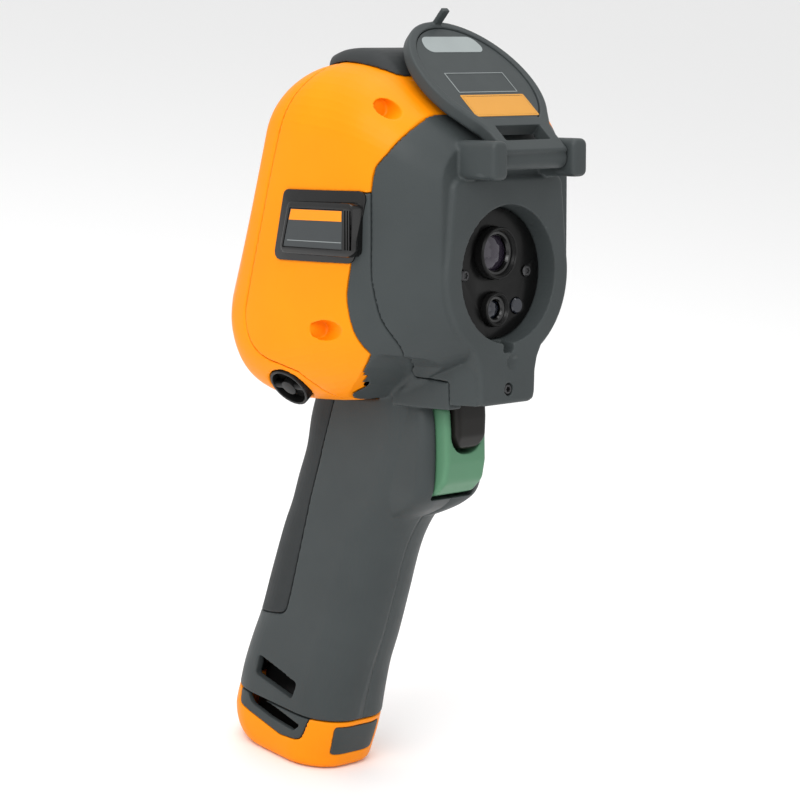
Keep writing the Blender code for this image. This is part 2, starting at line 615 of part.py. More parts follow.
COVER_OUTER = COVER_INNER - COVER_THICK
POCKET_RIM, POCKET_TOP, POCKET_DEPTH = 3.2, -15.5, 1.7
cover = prism("lens_cover", grey, COVER, "XZ", cover_outline(), COVER_OUTER, COVER_INNER, 1.2, 0.6)
join(cover, rod("cover_barrel", None, COVER, "X", 3.5, (-16.4, 0, 0), 32.8, 24, cutter=True))
join(cover, box("cover_hook", None, COVER, (-1.7, 4.4, -64.6), (1.7, 12.0, -62.8), cutter=True))
pocket = cover_disc(COVER_HALF - POCKET_RIM, COVER_REACH - POCKET_RIM, POCKET_TOP)
cut(cover, prism("cover_pocket_cut", None, COVER, "XZ", pocket, COVER_INNER - POCKET_DEPTH, 9, cutter=True))
cut(cover, box("cover_neck_cut", None, COVER, (-11.5, -3, -11.6), (11.5, 9, -4.4), cutter=True))
cut(cover, rod("cover_bore", None, COVER, "X", 1.8, (-20, 0, 0), 40, 20, cutter=True))
prism("cover_panel", rubber, COVER, "XZ", grown(pocket, -GAP), COVER_INNER - POCKET_DEPTH + GAP,
      COVER_INNER - 0.6)
rod("cover_pin", steel, OPTICAL, "X", 1.5, (-22.9, HINGE_Y, HINGE_Z), 45.8, 20)

# ------------------------------------------------------------------ top port cover, which shades the display
PORT_HINGE = (27.6, 67.2)
# ribs of the cover: lower point (y, z), upper point (y, z), half width, lower and upper corner radius
VISOR_RIBS = [
    ((27.4, 60.0), (27.2, 66.9), 23.0, 1, 1),
    ((29.0, 60.0), (28.8, 70.2), 27.0, 1, 2),
    ((36.2, 60.0), (36.2, 76.8), 30.5, 1, 6),
    ((45.0, 60.0), (45.0, 78.3), 32.0, 1, 8),
    ((54.0, 60.0), (54.0, 78.0), 31.5, 1, 8),
    ((60.5, 61.0), (60.5, 76.6), 28.5, 1, 6),
    ((64.4, 73.6), (64.8, 75.2), 23.0, 0.6, 0.7),
]
visor = loft("port_cover", rubber, OPTICAL, VISOR_RIBS)
visor.location = Vector((0, *PORT_HINGE)) * MM
visor.data.transform(Matrix.Translation(-Vector((0, *PORT_HINGE)) * MM))
head_clear = loft("head_clear", None, OPTICAL, [inset_rib(rib, -GAP) for rib in HEAD_RIBS], cutter=True)
cut(visor, head_clear)
port_block = box("port_block", black, OPTICAL, (-16, 38, 56.5), (16, 52, 65), 0.5)
cut(port_block, box("data_port_cut", None, OPTICAL, (-12, 40.5, 60), (-3, 43.5, 67), cutter=True))
cut(port_block, box("card_slot_cut", None, OPTICAL, (-12, 46.5, 58), (13, 49.5, 67), cutter=True))
box("memory_card", black, OPTICAL, (-11.4, 46.9, 58.6), (12.4, 49.1, 65.6), 0.3)

# ------------------------------------------------------------------ handle halves with the neck
def make_handle(hand, sign):
    half = loft("handle_" + hand, grey, OPTICAL, HEAD_RIBS)
    keep(half, undercut)
    join(half, neck_block)
    keep(half, neck_region)
    join(half, grip_solid, guard_lobe)
    cut(half, neck_cavity, grip_cavity, trigger_slot, pad_seat, catch_window, tongue_seat, pin_bores)
    low, high = (-80, -GAP / 2) if sign < 0 else (GAP / 2, 80)
    keep(half, box("half_space_" + hand, None, OPTICAL, (low, -50, -220), (high, 150, 100), cutter=True))
    return half


neck_block = prism("neck_block", None, OPTICAL, "XY", neck_outline(7, 40), -47.4, -30, cutter=True)
neck_region = region("neck_region", NECK_REGION)
grip_solid = loft("grip_solid", None, OPTICAL, GRIP_RIBS, cutter=True)
cut(grip_solid, head_clear)
guard_lobe = loft("guard_lobe", None, OPTICAL, [
    ((27.0, -46.6), (50.0, -46.6), 15.2, 5, 8), ((25.4, -54.0), (52.0, -54.0), 16.2, 5, 8),
    ((25.0, -64.0), (56.0, -64.0), 16.4, 5, 8), ((25.4, -74.0), (60.0, -74.0), 16.4, 5, 8),
    ((27.0, -80.6), (64.0, -80.6), 16.0, 6, 8), ((31.0, -84.8), (66.0, -84.8), 14.6, 7, 8),
    ((37.0, -88.0), (68.0, -88.0), 13.0, 7, 8), ((44.0, -90.8), (70.0, -90.8), 10.6, 6, 8)], cutter=True)
grip_cavity = loft("grip_cavity", None, OPTICAL, [
    ((33, -36), (58, -36), 14.0, 8, 8), ((33, -46), (66, -46), 14.4, 9, 9)] + [
    inset_rib(rib, GRIP_WALL) for rib in GRIP_RIBS[2:]] + [
    moved_rib(inset_rib(GRIP_RIBS[-1], GRIP_WALL), 1, -6)], cutter=True)
trigger_slot = box("trigger_slot", None, OPTICAL, (-TRIGGER_HALF - 0.4, 9.6, -81.6),
                   (TRIGGER_HALF + 0.4, 44, -39.6), cutter=True)
PAD_SIDE = rounded([(64, -34), (82.2, -86), (92.6, -122), (95.5, -130.8), (140, -133.5), (140, -34)],
                   [0, 0, 0, 5, 0, 0], 3)
pad_core = loft("pad_core", None, OPTICAL, [inset_rib(rib, PAD_DEPTH + GAP) for rib in GRIP_RIBS],
                cutter=True)
pad_seat = prism("pad_seat", None, OPTICAL, "YZ", PAD_SIDE, -40, 40, cutter=True)
cut(pad_seat, pad_core)
WINDOW_SIDE = [(109.0, -147.6), (88.4, -155.8), (91.2, -162.0), (110.6, -155.2)]
catch_window = prism("catch_window", None, OPTICAL, "YZ",
                     rounded(WINDOW_SIDE, [1, 1, 1, 1], 2),
                     -40, 40, cutter=True)
tongue_ribs = [
    ((122.6, -151.0), (126.6, -150.6), 5.0, 1, 1.2), ((124.0, -154.0), (128.2, -153.4), 7.0, 1, 2.4),
    ((124.6, -160.0), (129.6, -159.2), 8.5, 1, 2.8), ((124.6, -166.0), (130.0, -165.0), 9.0, 1, 3.0)]
tongue_seat = loft("tongue_seat", None, OPTICAL,
                   [moved_rib(inset_rib(tongue_ribs[0], -GAP), 0, 0.5)]
                   + [inset_rib(rib, -GAP) for rib in tongue_ribs[1:]], cutter=True)
bm = bmesh.new()
for pivot in (MAIN_PIVOT, UPPER_PIVOT):
    add_rod(bm, "X", 1.8, (-16.3, *pivot), 32.6, 20)
pin_bores = finish_object("pin_bores", bm, None, OPTICAL, cutter=True)
make_handle("left", -1)
make_handle("right", 1)

pad = loft("grip_pad", rubber, OPTICAL, GRIP_RIBS)
keep(pad, prism("pad_region", None, OPTICAL, "YZ", grown(PAD_SIDE, -GAP), -40, 40, cutter=True))
inner_ribs = [inset_rib(rib, PAD_DEPTH) for rib in GRIP_RIBS]
cut(pad, loft("pad_inner", None, OPTICAL, [moved_rib(inner_ribs[0], 0, 1.5)] + inner_ribs[1:-1]
              + [moved_rib(inner_ribs[-1], 0.5, -1.5)], cutter=True), head_clear)

# ------------------------------------------------------------------ badges
BADGE_SIDE = [(57.4, 25.6), (25.2, 25.9), (25.8, 7.0), (62.2, 7.0)]
BADGE_POCKET = [(56.0, 23.2), (29.8, 23.4), (30.2, 9.4), (59.8, 9.4)]
FLANGE_SIDE = [(59.2, 29.5), (23.4, 29.8), (28.8, 4.8), (64.8, 4.8)]
BADGE_X, BADGE_FLOOR_X = 52.4, 51.6
flange_skin = loft("flange_skin", None, OPTICAL, [inset_rib(rib, -0.8) for rib in HEAD_RIBS[:-1]],
                   cutter=True)
for sign, hand in ((-1, "left"), (1, "right")):
    low, high = sorted((sign * 42.0, sign * BADGE_X))
    rounds = (0, 1.0) if sign > 0 else (1.0, 0)
    badge = prism("badge_bezel_" + hand, gloss, OPTICAL, "YZ", rounded(BADGE_SIDE, [2.5] * 4, 3), low, high,
                  *rounds)
    low, high = sorted((sign * BADGE_FLOOR_X, sign * 60))
    pocket = prism("badge_pocket_" + hand, None, OPTICAL, "YZ", BADGE_POCKET, low, high, cutter=True)
    low, high = sorted((sign * 42.0, sign * 60))
    flange = prism("badge_flange_" + hand, None, OPTICAL, "YZ", rounded(FLANGE_SIDE, [2.5] * 4, 3), low, high,
                   cutter=True)
    keep(flange, flange_skin)
    join(badge, flange)
    cut(badge, head_clear, pocket)
    low, high = sorted((sign * (BADGE_FLOOR_X + GAP), sign * (BADGE_X - 0.1)))
    prism("badge_plate_" + hand, grey, OPTICAL, "YZ", grown(BADGE_POCKET, -GAP), low, high)

# ------------------------------------------------------------------ triggers
def pivoted(name, mat, outline, radii, half, pivot):
    local = [(y - pivot[0], z - pivot[1]) for y, z in rounded(outline, radii, 3)]
    trigger = prism(name, mat, OPTICAL, "YZ", local, -half, half, 1.6, 1.6, location=(0, *pivot))
    cut(trigger, rod(name + "_bore", None, OPTICAL, "X", 1.8, (-20, *pivot), 40, 20, cutter=True))
    return trigger


def cup_outline(half, bottom, radius):
    """The upper trigger's outline from the front: straight sides and a round bottom, as (x, z)."""
    return rounded([(-half, -36), (half, -36), (half, bottom), (-half, bottom)], [0, 0, radius, radius], 5)


main_trigger = pivoted(
    "main_trigger", green,
    [(38.4, -41.2), (30.0, -41.2), (29.6, -47.8), (20.9, -47.8), (20.2, -56), (20.0, -68), (21.4, -75),
     (26, -79.6), (31, -81.0), (38.4, -81.0), (38.6, -60)],
    [2, 2, 2, 2, 0, 6, 5, 4, 2, 3, 0], TRIGGER_HALF, MAIN_PIVOT)
cut(main_trigger, prism("upper_trigger_room", None, OPTICAL, "XZ", cup_outline(UPPER_HALF + 0.4, -65.0, 6.8),
                        5, 30.6, cutter=True))
upper_trigger = pivoted(
    "upper_trigger", black,
    [(28.4, -40.8), (19.6, -40.8), (17.5, -44.8), (17.1, -52), (17.4, -58.5), (19.6, -63.4), (25.8, -63.4),
     (27.4, -59), (27.6, -48)],
    [2, 2, 3, 0, 3, 3, 2, 2, 3], UPPER_HALF, UPPER_PIVOT)
keep(upper_trigger, prism("upper_trigger_front", None, OPTICAL, "XZ", cup_outline(UPPER_HALF, -63.4, 6.4),
                          5, 40, cutter=True))
for pin_name, pivot in (("main_trigger_pin", MAIN_PIVOT), ("upper_trigger_pin", UPPER_PIVOT)):
    rod(pin_name, steel, OPTICAL, "X", 1.5, (-16, *pivot), 32, 16)
trigger_switch = box("trigger_switch", black, OPTICAL, (-5, 46, -76), (5, 54, -66), 0.6)
join(trigger_switch, box("switch_tip", None, OPTICAL, (-2, 43.2, -74), (2, 47, -71), cutter=True))


def coil(name, start, length, radius, wire, turns):
    """A compression spring along y, as a bevelled poly line, turned into a mesh."""
    curve = bpy.data.curves.new(name, "CURVE")
    curve.dimensions = "3D"
    spline = curve.splines.new("POLY")
    per_turn = 8
    total = turns * per_turn
    spline.points.add(total)
    for i in range(total + 1):
        a = 2 * pi * i / per_turn
        point = Vector((radius * cos(a), length * i / total, radius * sin(a))) * MM
        spline.points[i].co = (*point, 1)
    curve.bevel_depth = wire * MM
    curve.bevel_resolution = 1
    curve.use_fill_caps = True
    obj = bpy.data.objects.new(name, curve)
    PARTS.objects.link(obj)
    obj.parent = OPTICAL
    obj.location = Vector(start) * MM
    curve.materials.append(steel)
    return obj


coil("trigger_spring", (0, 39.4, -58), 9.0, 2.6, 0.35, 5)

# ------------------------------------------------------------------ battery
cap = loft("battery_cap", yellow, OPTICAL, BATTERY_RIBS)
tongue = loft("battery_tongue", None, OPTICAL, tongue_ribs, cutter=True)
cap_cavity = loft("cap_cavity", None, OPTICAL, [
    moved_rib(inset_rib(BATTERY_RIBS[0], WALL), 0, 2), inset_rib(BATTERY_RIBS[1], WALL),
    inset_rib(BATTERY_RIBS[2], WALL), ((83.0, -185.6), (121.4, -178.0), 15.6, 11, 11)], cutter=True)
LATCH_IN = 13.8            # how far in the latch seats reach, from the middle
LATCH_SIDE = rounded([(83.2, -160), (82.4, -168), (86.6, -177.2), (97.0, -176.2), (119.4, -167.6),
                      (119.6, -157)], [0, 2, 4, 6, 2, 0], 3)
SLIT = rounded([(86.4, -171.2), (99.4, -166.2), (115.4, -161.6), (112.4, -166.6), (102, -170.4),
                (89.6, -173.6)], [0.6, 8, 0.6, 5, 6, 1.4], 3)
join(cap, tongue)
cut(cap, cap_cavity)
for sign, hand in ((-1, "left"), (1, "right")):
    low, high = (LATCH_IN, 40) if sign > 0 else (-40, -LATCH_IN)
    seat = prism("latch_seat_" + hand, None, OPTICAL, "YZ", LATCH_SIDE, low, high, cutter=True)
    cut(cap, seat)
    latch = loft("battery_latch_" + hand, grey, OPTICAL, [
        moved_rib(BATTERY_RIBS[0], 0, -0.1)] + BATTERY_RIBS[1:])
    low, high = (LATCH_IN + GAP, 40) if sign > 0 else (-40, -LATCH_IN - GAP)
    keep(latch, prism("latch_region_" + hand, None, OPTICAL, "YZ", grown(LATCH_SIDE, -GAP), low, high,
                      cutter=True))
    cut(latch, prism("slit_" + hand, None, OPTICAL, "YZ", SLIT, -40, 40, cutter=True))
    cut(latch, cap_cavity)

# the panel's outline on the grip's front, as (x, height above the grip frame)
PANEL = rounded([(-11.6, 2.4), (11.6, 2.4), (10.8, -9.6), (-10.8, -9.6)], [1.6] * 4, 2)
PANEL_RECESS = 0.9
panel_core = loft("panel_core", None, OPTICAL, [
    moved_rib(rib, PANEL_RECESS, 0) for rib in BATTERY_RIBS], cutter=True)
panel_seat = prism("panel_seat", None, GRIP, "XZ", PANEL, -60, -20, cutter=True)
cut(panel_seat, panel_core)
cut(cap, panel_seat)
front_panel = loft("battery_front_panel", grey, OPTICAL, BATTERY_RIBS)
keep(front_panel, prism("panel_region", None, GRIP, "XZ", grown(PANEL, -GAP), -60, -20, cutter=True))
cut(front_panel, loft("panel_inner", None, OPTICAL, [
    moved_rib(rib, PANEL_RECESS - GAP, 0) for rib in BATTERY_RIBS], cutter=True))

SLEEVE_LOW, SLEEVE_HIGH = -12.4, 57.0
sleeve = prism("battery_sleeve", black, GRIP, "XY", rounded_rect(20.6, 38.6, 6), SLEEVE_LOW, SLEEVE_HIGH, 0.8)
cut(sleeve, prism("sleeve_bore", None, GRIP, "XY", rounded_rect(18.6, 36.6, 5.2), SLEEVE_LOW + 1.2, 80,
                  cutter=True))
cells = bmesh.new()
for cell_y in (-9.15, 9.15):
    add_rod(cells, "Z", CELL_R, (0, cell_y, SLEEVE_LOW + 1.6), CELL_LENGTH, 24)
cells = finish_object("battery_cells", cells, cell_foil, GRIP)
join(cells, box("cell_link", None, GRIP, (-3, -9, SLEEVE_LOW + 1.8 + CELL_LENGTH - 1),
                (3, 9, SLEEVE_LOW + 1.9 + CELL_LENGTH), cutter=True))
lid = prism("battery_contacts", black, GRIP, "XY", rounded_rect(18.0, 36.0, 5), 54.5, 58.6, 0, 0.4)
for i in range(3):
    pad_y = -8 + 8 * i
    join(lid, box("contact_%d" % i, None, GRIP, (-3, pad_y - 1.6, 58), (3, pad_y + 1.6, 59.4), cutter=True))
box("handle_contacts", black, GRIP, (-12, -16, 61.5), (12, 16, 66), 0.5)

# ------------------------------------------------------------------ display and boards behind the face
prism("display_window", glass, FACE, "XZ", grown(window_outline, -GAP), -1.7, -0.4)
gasket = prism("display_gasket", rubber, FACE, "XZ", rounded_rect(76, 58, 4, (0, WINDOW_V)), -3.9, -2.9)
cut(gasket, prism("gasket_cut", None, FACE, "XZ", rounded_rect(69, 51.5, 2, (0, WINDOW_V)), -6, 0,
                  cutter=True))
prism("display_module", black, FACE, "XZ", rounded_rect(76, 57, 1.5, (0, WINDOW_V)), -7.8, -4.2)
prism("keypad_membrane", rubber, FACE, "XZ", rounded_rect(66, 26, 3, (0, -18.4)), -5.9, -4.9)
prism("main_board", board, FACE, "XZ", rounded_rect(76, 76, 4, (0, 15)), -16, -14.4)
box("processor_shield", steel, FACE, (-18, -20, -2), (18, -16.3, 30), 0.4)
rod("speaker", black, FACE, "Y", 9.0, (-24, -13.6, -18), 4.4, 24)

detector = box("detector_module", black, OPTICAL, (IR_X - 15, 17.5, IR_Z - 13.5),
               (IR_X + 15, 42, IR_Z + 15), 1.5)
join(detector, rod("detector_collar", None, OPTICAL, "Y", 10.0, (IR_X, 14.9, IR_Z), 4, 28, cutter=True))
box("camera_module", board, OPTICAL, (CAM_X - 6, 14.0, CAM_Z - 6), (CAM_X + 6, 20, CAM_Z + 5.5), 0.5)
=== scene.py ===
"""Looks of the pistol-grip thermal camera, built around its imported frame.

The casings are lofted again with finer ribs than the frame's, cut along the same lines, and given
moulded edges. Smaller parts are bevelled copies of the frame's parts, or new detail that fits in them.
Lengths are in millimetres of the optical frame and are multiplied by MM where a mesh is made.
"""
import json
from math import acos, asin, atan2, cos, degrees, hypot, pi, radians, sin

import bmesh
import bpy
from mathutils import Matrix, Vector


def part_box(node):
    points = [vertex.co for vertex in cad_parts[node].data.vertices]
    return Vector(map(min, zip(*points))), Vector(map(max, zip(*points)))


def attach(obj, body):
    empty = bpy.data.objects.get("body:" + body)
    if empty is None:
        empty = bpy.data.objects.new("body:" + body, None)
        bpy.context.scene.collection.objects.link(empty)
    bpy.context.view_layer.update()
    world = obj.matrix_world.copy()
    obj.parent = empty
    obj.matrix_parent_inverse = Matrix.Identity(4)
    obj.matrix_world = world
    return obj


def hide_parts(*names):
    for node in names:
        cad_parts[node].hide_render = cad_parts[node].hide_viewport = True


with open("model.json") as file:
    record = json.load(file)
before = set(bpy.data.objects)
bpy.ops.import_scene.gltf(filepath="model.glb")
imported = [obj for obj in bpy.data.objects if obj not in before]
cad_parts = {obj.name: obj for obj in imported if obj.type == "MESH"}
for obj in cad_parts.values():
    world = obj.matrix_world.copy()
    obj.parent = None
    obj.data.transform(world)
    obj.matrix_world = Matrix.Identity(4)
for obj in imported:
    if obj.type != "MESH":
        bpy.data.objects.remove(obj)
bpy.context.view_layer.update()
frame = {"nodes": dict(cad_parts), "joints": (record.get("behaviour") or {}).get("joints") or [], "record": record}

MM = 0.001
GAP = 0.3
SIDES = ((-1, "left"), (1, "right"))
JOINTS = {joint["name"]: joint for joint in frame["joints"]}

# ------------------------------------------------------------------ frames of the object
TILT = 10.0
HINGE_Y, HINGE_Z = -8.4, 40.2
hinge_at = Vector(JOINTS["cover_hinge"]["pos_m"])


def turn_x(angle):
    return Matrix.Rotation(radians(angle), 4, "X")


def shift(x, y, z):
    return Matrix.Translation(Vector((x, y, z)) * MM)


OPTICAL = Matrix.Translation(hinge_at) @ turn_x(-TILT) @ shift(0, -HINGE_Y, -HINGE_Z)
COVER = OPTICAL @ shift(0, HINGE_Y, HINGE_Z) @ turn_x(132)
FACE = OPTICAL @ shift(0, 86.26, 10) @ turn_x(18.17)
GRIP = OPTICAL @ shift(0, 100, -165) @ turn_x(20.5)

# ------------------------------------------------------------------ ribs and outlines of the casings
WALL = 2.4
HEAD_WALL = 3.2
RING_R, RECESS_R, RECESS_FLOOR_R = 31.4, 24.2, 23.2
IR_X, IR_Z = -1.2, 7.2
CAM_X, CAM_Z = -1.0, -12.6
SPOT_X, SPOT_Z = 11.0, -12.0
COVER_HALF, COVER_REACH, COVER_CENTRE, COVER_INNER, COVER_THICK = 27.4, 29.0, 36.2, 5.3, 5.0
GRIP_WALL, PAD_DEPTH, TRIGGER_HALF, UPPER_HALF = 3.6, 1.9, 10.3, 7.4
WINDOW_W, WINDOW_H, WINDOW_V = 71.0, 53.5, 25.4
MAIN_PIVOT, UPPER_PIVOT = (34.4, -44.6), (24.4, -43.2)

# each rib: first point (y, z), last point (y, z), half width, corner radius at each end
HEAD_RIBS = [
    ((2, 45.5), (2, -29.6), 32.3, 14, 28),
    ((10, 53.6), (10, -32), 39.0, 17, 26),
    ((19, 61.6), (20, -36.0), 44.5, 20, 25),
    ((28, 68.4), (32, -41.5), 48.2, 23, 25),
    ((38, 72.6), (45, -45.4), 50.0, 25, 25),
    ((46, 73.6), (60, -46.4), 50.8, 25, 23),
    ((51.5, 73.4), (76, -45.6), 51.2, 24, 20),
    ((59.5, 71.6), (87, -40.8), 50.8, 22, 18),
    ((65.6, 67.8), (93.6, -32.0), 49.2, 19, 17),
    ((69.0, 62.6), (96.9, -22.4), 45.5, 14, 14),
]
GRIP_RIBS = [
    ((31, -37), (82.5, -35), 18.6, 16, 16),
    ((27.5, -48.5), (86.8, -46.0), 18.4, 16, 16),
    ((27.5, -58), (90.3, -56), 18.2, 16, 16),
    ((30.5, -70), (92.8, -67), 18.0, 16, 16),
    ((35.5, -82), (97.3, -78), 17.8, 16, 16),
    ((44.5, -93), (101.1, -88), 17.6, 16, 16),
    ((50.5, -104), (105.7, -98), 17.6, 16, 16),
    ((56.6, -122), (112.2, -115.5), 17.8, 16, 16),
    ((62.1, -138), (117.5, -130.5), 18.0, 16, 16),
    ((66.7, -149), (122.1, -141.0), 18.4, 16, 16),
    ((70.3, -160), (125.8, -151.5), 19.2, 16, 16),
    ((73.0, -169.8), (128.0, -160.0), 19.6, 15.5, 16),
]
BATTERY_RIBS = [
    ((73.4, -170.2), (128.1, -160.4), 19.6, 15.5, 16),
    ((76.0, -177.4), (129.8, -168.0), 20.0, 15.5, 16),
    ((78.2, -183.2), (128.6, -174.8), 19.8, 15.5, 16),
    ((79.6, -187.4), (126.0, -178.9), 18.8, 15, 15.5),
    ((82.0, -188.627), (122.2, -181.538), 16.6, 14, 14),
]
TONGUE_RIBS = [
    ((122.6, -151.0), (126.6, -150.6), 5.0, 1, 1.2), ((124.0, -154.0), (128.2, -153.4), 7.0, 1, 2.4),
    ((124.6, -160.0), (129.6, -159.2), 8.5, 1, 2.8), ((124.6, -166.0), (130.0, -165.0), 9.0, 1, 3.0)]
LOBE_RIBS = [
    ((27.0, -46.6), (50.0, -46.6), 15.2, 5, 8), ((25.4, -54.0), (52.0, -54.0), 16.2, 5, 8),
    ((25.0, -64.0), (56.0, -64.0), 16.4, 5, 8), ((25.4, -74.0), (60.0, -74.0), 16.4, 5, 8),
    ((27.0, -80.6), (64.0, -80.6), 16.0, 6, 8), ((31.0, -84.8), (66.0, -84.8), 14.6, 7, 8),
    ((37.0, -88.0), (68.0, -88.0), 13.0, 7, 8), ((44.0, -90.8), (70.0, -90.8), 10.6, 6, 8)]
VISOR_RIBS = [
    ((27.4, 60.0), (27.2, 66.9), 23.0, 1, 1),
    ((29.0, 60.0), (28.8, 70.2), 27.0, 1, 2),
    ((36.2, 60.0), (36.2, 76.8), 30.5, 1, 6),
    ((45.0, 60.0), (45.0, 78.3), 32.0, 1, 8),
    ((54.0, 60.0), (54.0, 78.0), 31.5, 1, 8),
    ((60.5, 61.0), (60.5, 76.6), 28.5, 1, 6),
    ((64.4, 73.6), (64.8, 75.2), 23.0, 0.6, 0.7),
]


def arc(centre, radius, start, end, steps):
    angles = [radians(start + (end - start) * i / steps) for i in range(steps + 1)]
    return [(centre[0] + radius * cos(a), centre[1] + radius * sin(a)) for a in angles]


def rounded(points, radii, steps=8):
    """A closed outline with its corners rounded."""
    result = []
    for i, radius in enumerate(radii):
        corner = Vector(points[i])
        before = (Vector(points[i - 1]) - corner).normalized()
        after = (Vector(points[(i + 1) % len(points)]) - corner).normalized()
        if radius == 0:
            result.append(tuple(corner))
            continue
        half = acos(max(-1.0, min(1.0, before.dot(after)))) / 2
        centre = corner + (before + after).normalized() * radius / sin(half)
        start = corner + before * radius / (sin(half) / cos(half)) - centre
        end = corner + after * radius / (sin(half) / cos(half)) - centre
        first = atan2(start.y, start.x)
        turn = (atan2(end.y, end.x) - first + pi) % (2 * pi) - pi
        result += arc(centre, radius, degrees(first), degrees(first + turn), steps)
    return result


def rounded_rect(width, height, radius, centre=(0, 0), steps=8):
    x, y = width / 2, height / 2
    corners = [(centre[0] + sx * x, centre[1] + sy * y) for sx, sy in ((1, 1), (-1, 1), (-1, -1), (1, -1))]
    return rounded(corners, [radius] * 4, steps)


def spline(rows, steps):
    """Catmull-Rom through rows of numbers, ends included."""
    ends = [rows[0]] + list(rows) + [rows[-1]]
    result = []
    for p0, p1, p2, p3 in zip(ends, ends[1:], ends[2:], ends[3:]):
        for k in range(steps):
            t = k / steps
            weights = (-0.5 * t + t * t - 0.5 * t ** 3, 1 - 2.5 * t * t + 1.5 * t ** 3,
                       0.5 * t + 2 * t * t - 1.5 * t ** 3, -0.5 * t * t + 0.5 * t ** 3)
            result.append(tuple(sum(w * v for w, v in zip(weights, column))
                                for column in zip(p0, p1, p2, p3)))
    return result + [tuple(rows[-1])]


def grown(outline, distance):
    area = sum(a[0] * b[1] - b[0] * a[1] for a, b in zip(outline, outline[1:] + outline[:1]))
    side = 1 if area > 0 else -1
    result = []
    for i, point in enumerate(outline):
        before = Vector(point) - Vector(outline[i - 1])
        after = Vector(outline[(i + 1) % len(outline)]) - Vector(point)
        n1 = Vector((before.y, -before.x)).normalized()
        n2 = Vector((after.y, -after.x)).normalized()
        mean = (n1 + n2).normalized()
        stretch = min(1.6, 1 / max(0.3, mean.dot(n1)))
        result.append(tuple(Vector(point) + mean * side * distance * stretch))
    return result


def inset(ribs, amount):
    result = []
    for start, end, half, r0, r1 in ribs:
        length = hypot(end[0] - start[0], end[1] - start[1])
        dy, dz = (end[0] - start[0]) / length * amount, (end[1] - start[1]) / length * amount
        result.append(((start[0] + dy, start[1] + dz), (end[0] - dy, end[1] - dz),
                       half - amount, max(2, r0 - amount), max(2, r1 - amount)))
    return result


def moved(rib, dy, dz):
    start, end, half, r0, r1 = rib
    return ((start[0] + dy, start[1] + dz), (end[0] + dy, end[1] + dz), half, r0, r1)


def finer(ribs, steps):
    rows = spline([(*a, *b, half, r0, r1) for a, b, half, r0, r1 in ribs], steps)
    return [((r[0], r[1]), (r[2], r[3]), r[4], r[5], r[6]) for r in rows]


# ------------------------------------------------------------------ solids
def make(name, bm, place=OPTICAL):
    """An object from a mesh in mm of a frame, with its shape in its vertices."""
    bmesh.ops.recalc_face_normals(bm, faces=bm.faces)
    bm.transform(place @ Matrix.Scale(MM, 4))
    mesh = bpy.data.meshes.new(name)
    bm.to_mesh(mesh)
    bm.free()
    obj = bpy.data.objects.new(name, mesh)
    bpy.context.scene.collection.objects.link(obj)
    return obj


def skin(bm, rings):
    loops = [[bm.verts.new(p) for p in ring] for ring in rings]
    for low, high in zip(loops, loops[1:]):
        for i in range(len(low)):
            j = (i + 1) % len(low)
            bm.faces.new((low[i], low[j], high[j], high[i]))
    bm.faces.new(loops[0])
    bm.faces.new(loops[-1])


def rib_ring(rib, steps):
    start, end, half, r_start, r_end = rib
    length = hypot(end[0] - start[0], end[1] - start[1])
    along = ((end[0] - start[0]) / length, (end[1] - start[1]) / length)
    r0, r1 = min(r_start, half), min(r_end, half)
    corners = [(half - r0, r0, r0, 270), (half - r1, length - r1, r1, 0),
               (r1 - half, length - r1, r1, 90), (r0 - half, r0, r0, 180)]
    ring = []
    for cx, cu, radius, turn in corners:
        ring += [(x, start[0] + along[0] * u, start[1] + along[1] * u)
                 for x, u in arc((cx, cu), radius, turn, turn + 90, steps)]
    return ring


def loft(name, ribs, steps=12, between=4):
    bm = bmesh.new()
    skin(bm, [rib_ring(rib, steps) for rib in (finer(ribs, between) if between > 1 else ribs)])
    return make(name, bm)


def lay(plane, u, v, height):
    return {"XZ": (u, height, v), "XY": (u, v, height), "YZ": (height, u, v)}[plane]


def prism_into(bm, plane, outline, low, high, round_low=0.0, round_high=0.0, steps=5):
    rings = []
    for k in range(steps if round_low else 0):
        a = pi / 2 * k / steps
        rings.append([lay(plane, u, v, low + round_low * (1 - cos(a)))
                      for u, v in grown(outline, -round_low * (1 - sin(a)))])
    rings.append([lay(plane, u, v, low + round_low) for u, v in outline])
    rings.append([lay(plane, u, v, high - round_high) for u, v in outline])
    for k in reversed(range(steps if round_high else 0)):
        a = pi / 2 * k / steps
        rings.append([lay(plane, u, v, high - round_high * (1 - cos(a)))
                      for u, v in grown(outline, -round_high * (1 - sin(a)))])
    skin(bm, rings)


def prism(name, plane, outline, low, high, round_low=0.0, round_high=0.0, place=OPTICAL, steps=5):
    bm = bmesh.new()
    prism_into(bm, plane, outline, low, high, round_low, round_high, steps)
    return make(name, bm, place)


AXES = {"X": Matrix.Rotation(pi / 2, 4, "Y"), "Y": Matrix.Rotation(-pi / 2, 4, "X"), "Z": Matrix()}


def rod_into(bm, axis, radius, start, length, segments=64, radius_end=None):
    middle = Vector(start) + AXES[axis] @ Vector((0, 0, length / 2))
    bmesh.ops.create_cone(bm, cap_ends=True, segments=segments, radius1=radius,
                          radius2=radius if radius_end is None else radius_end, depth=length,
                          matrix=Matrix.Translation(middle) @ AXES[axis])


def rod(name, axis, radius, start, length, segments=64, radius_end=None, place=OPTICAL):
    bm = bmesh.new()
    rod_into(bm, axis, radius, start, length, segments, radius_end)
    return make(name, bm, place)


def block_into(bm, low, high):
    size, middle = Vector(high) - Vector(low), (Vector(high) + Vector(low)) / 2
    bmesh.ops.create_cube(bm, size=1.0, matrix=Matrix.Translation(middle) @ Matrix.Diagonal((*size, 1)))


def block(name, low, high, place=OPTICAL):
    bm = bmesh.new()
    block_into(bm, low, high)
    return make(name, bm, place)


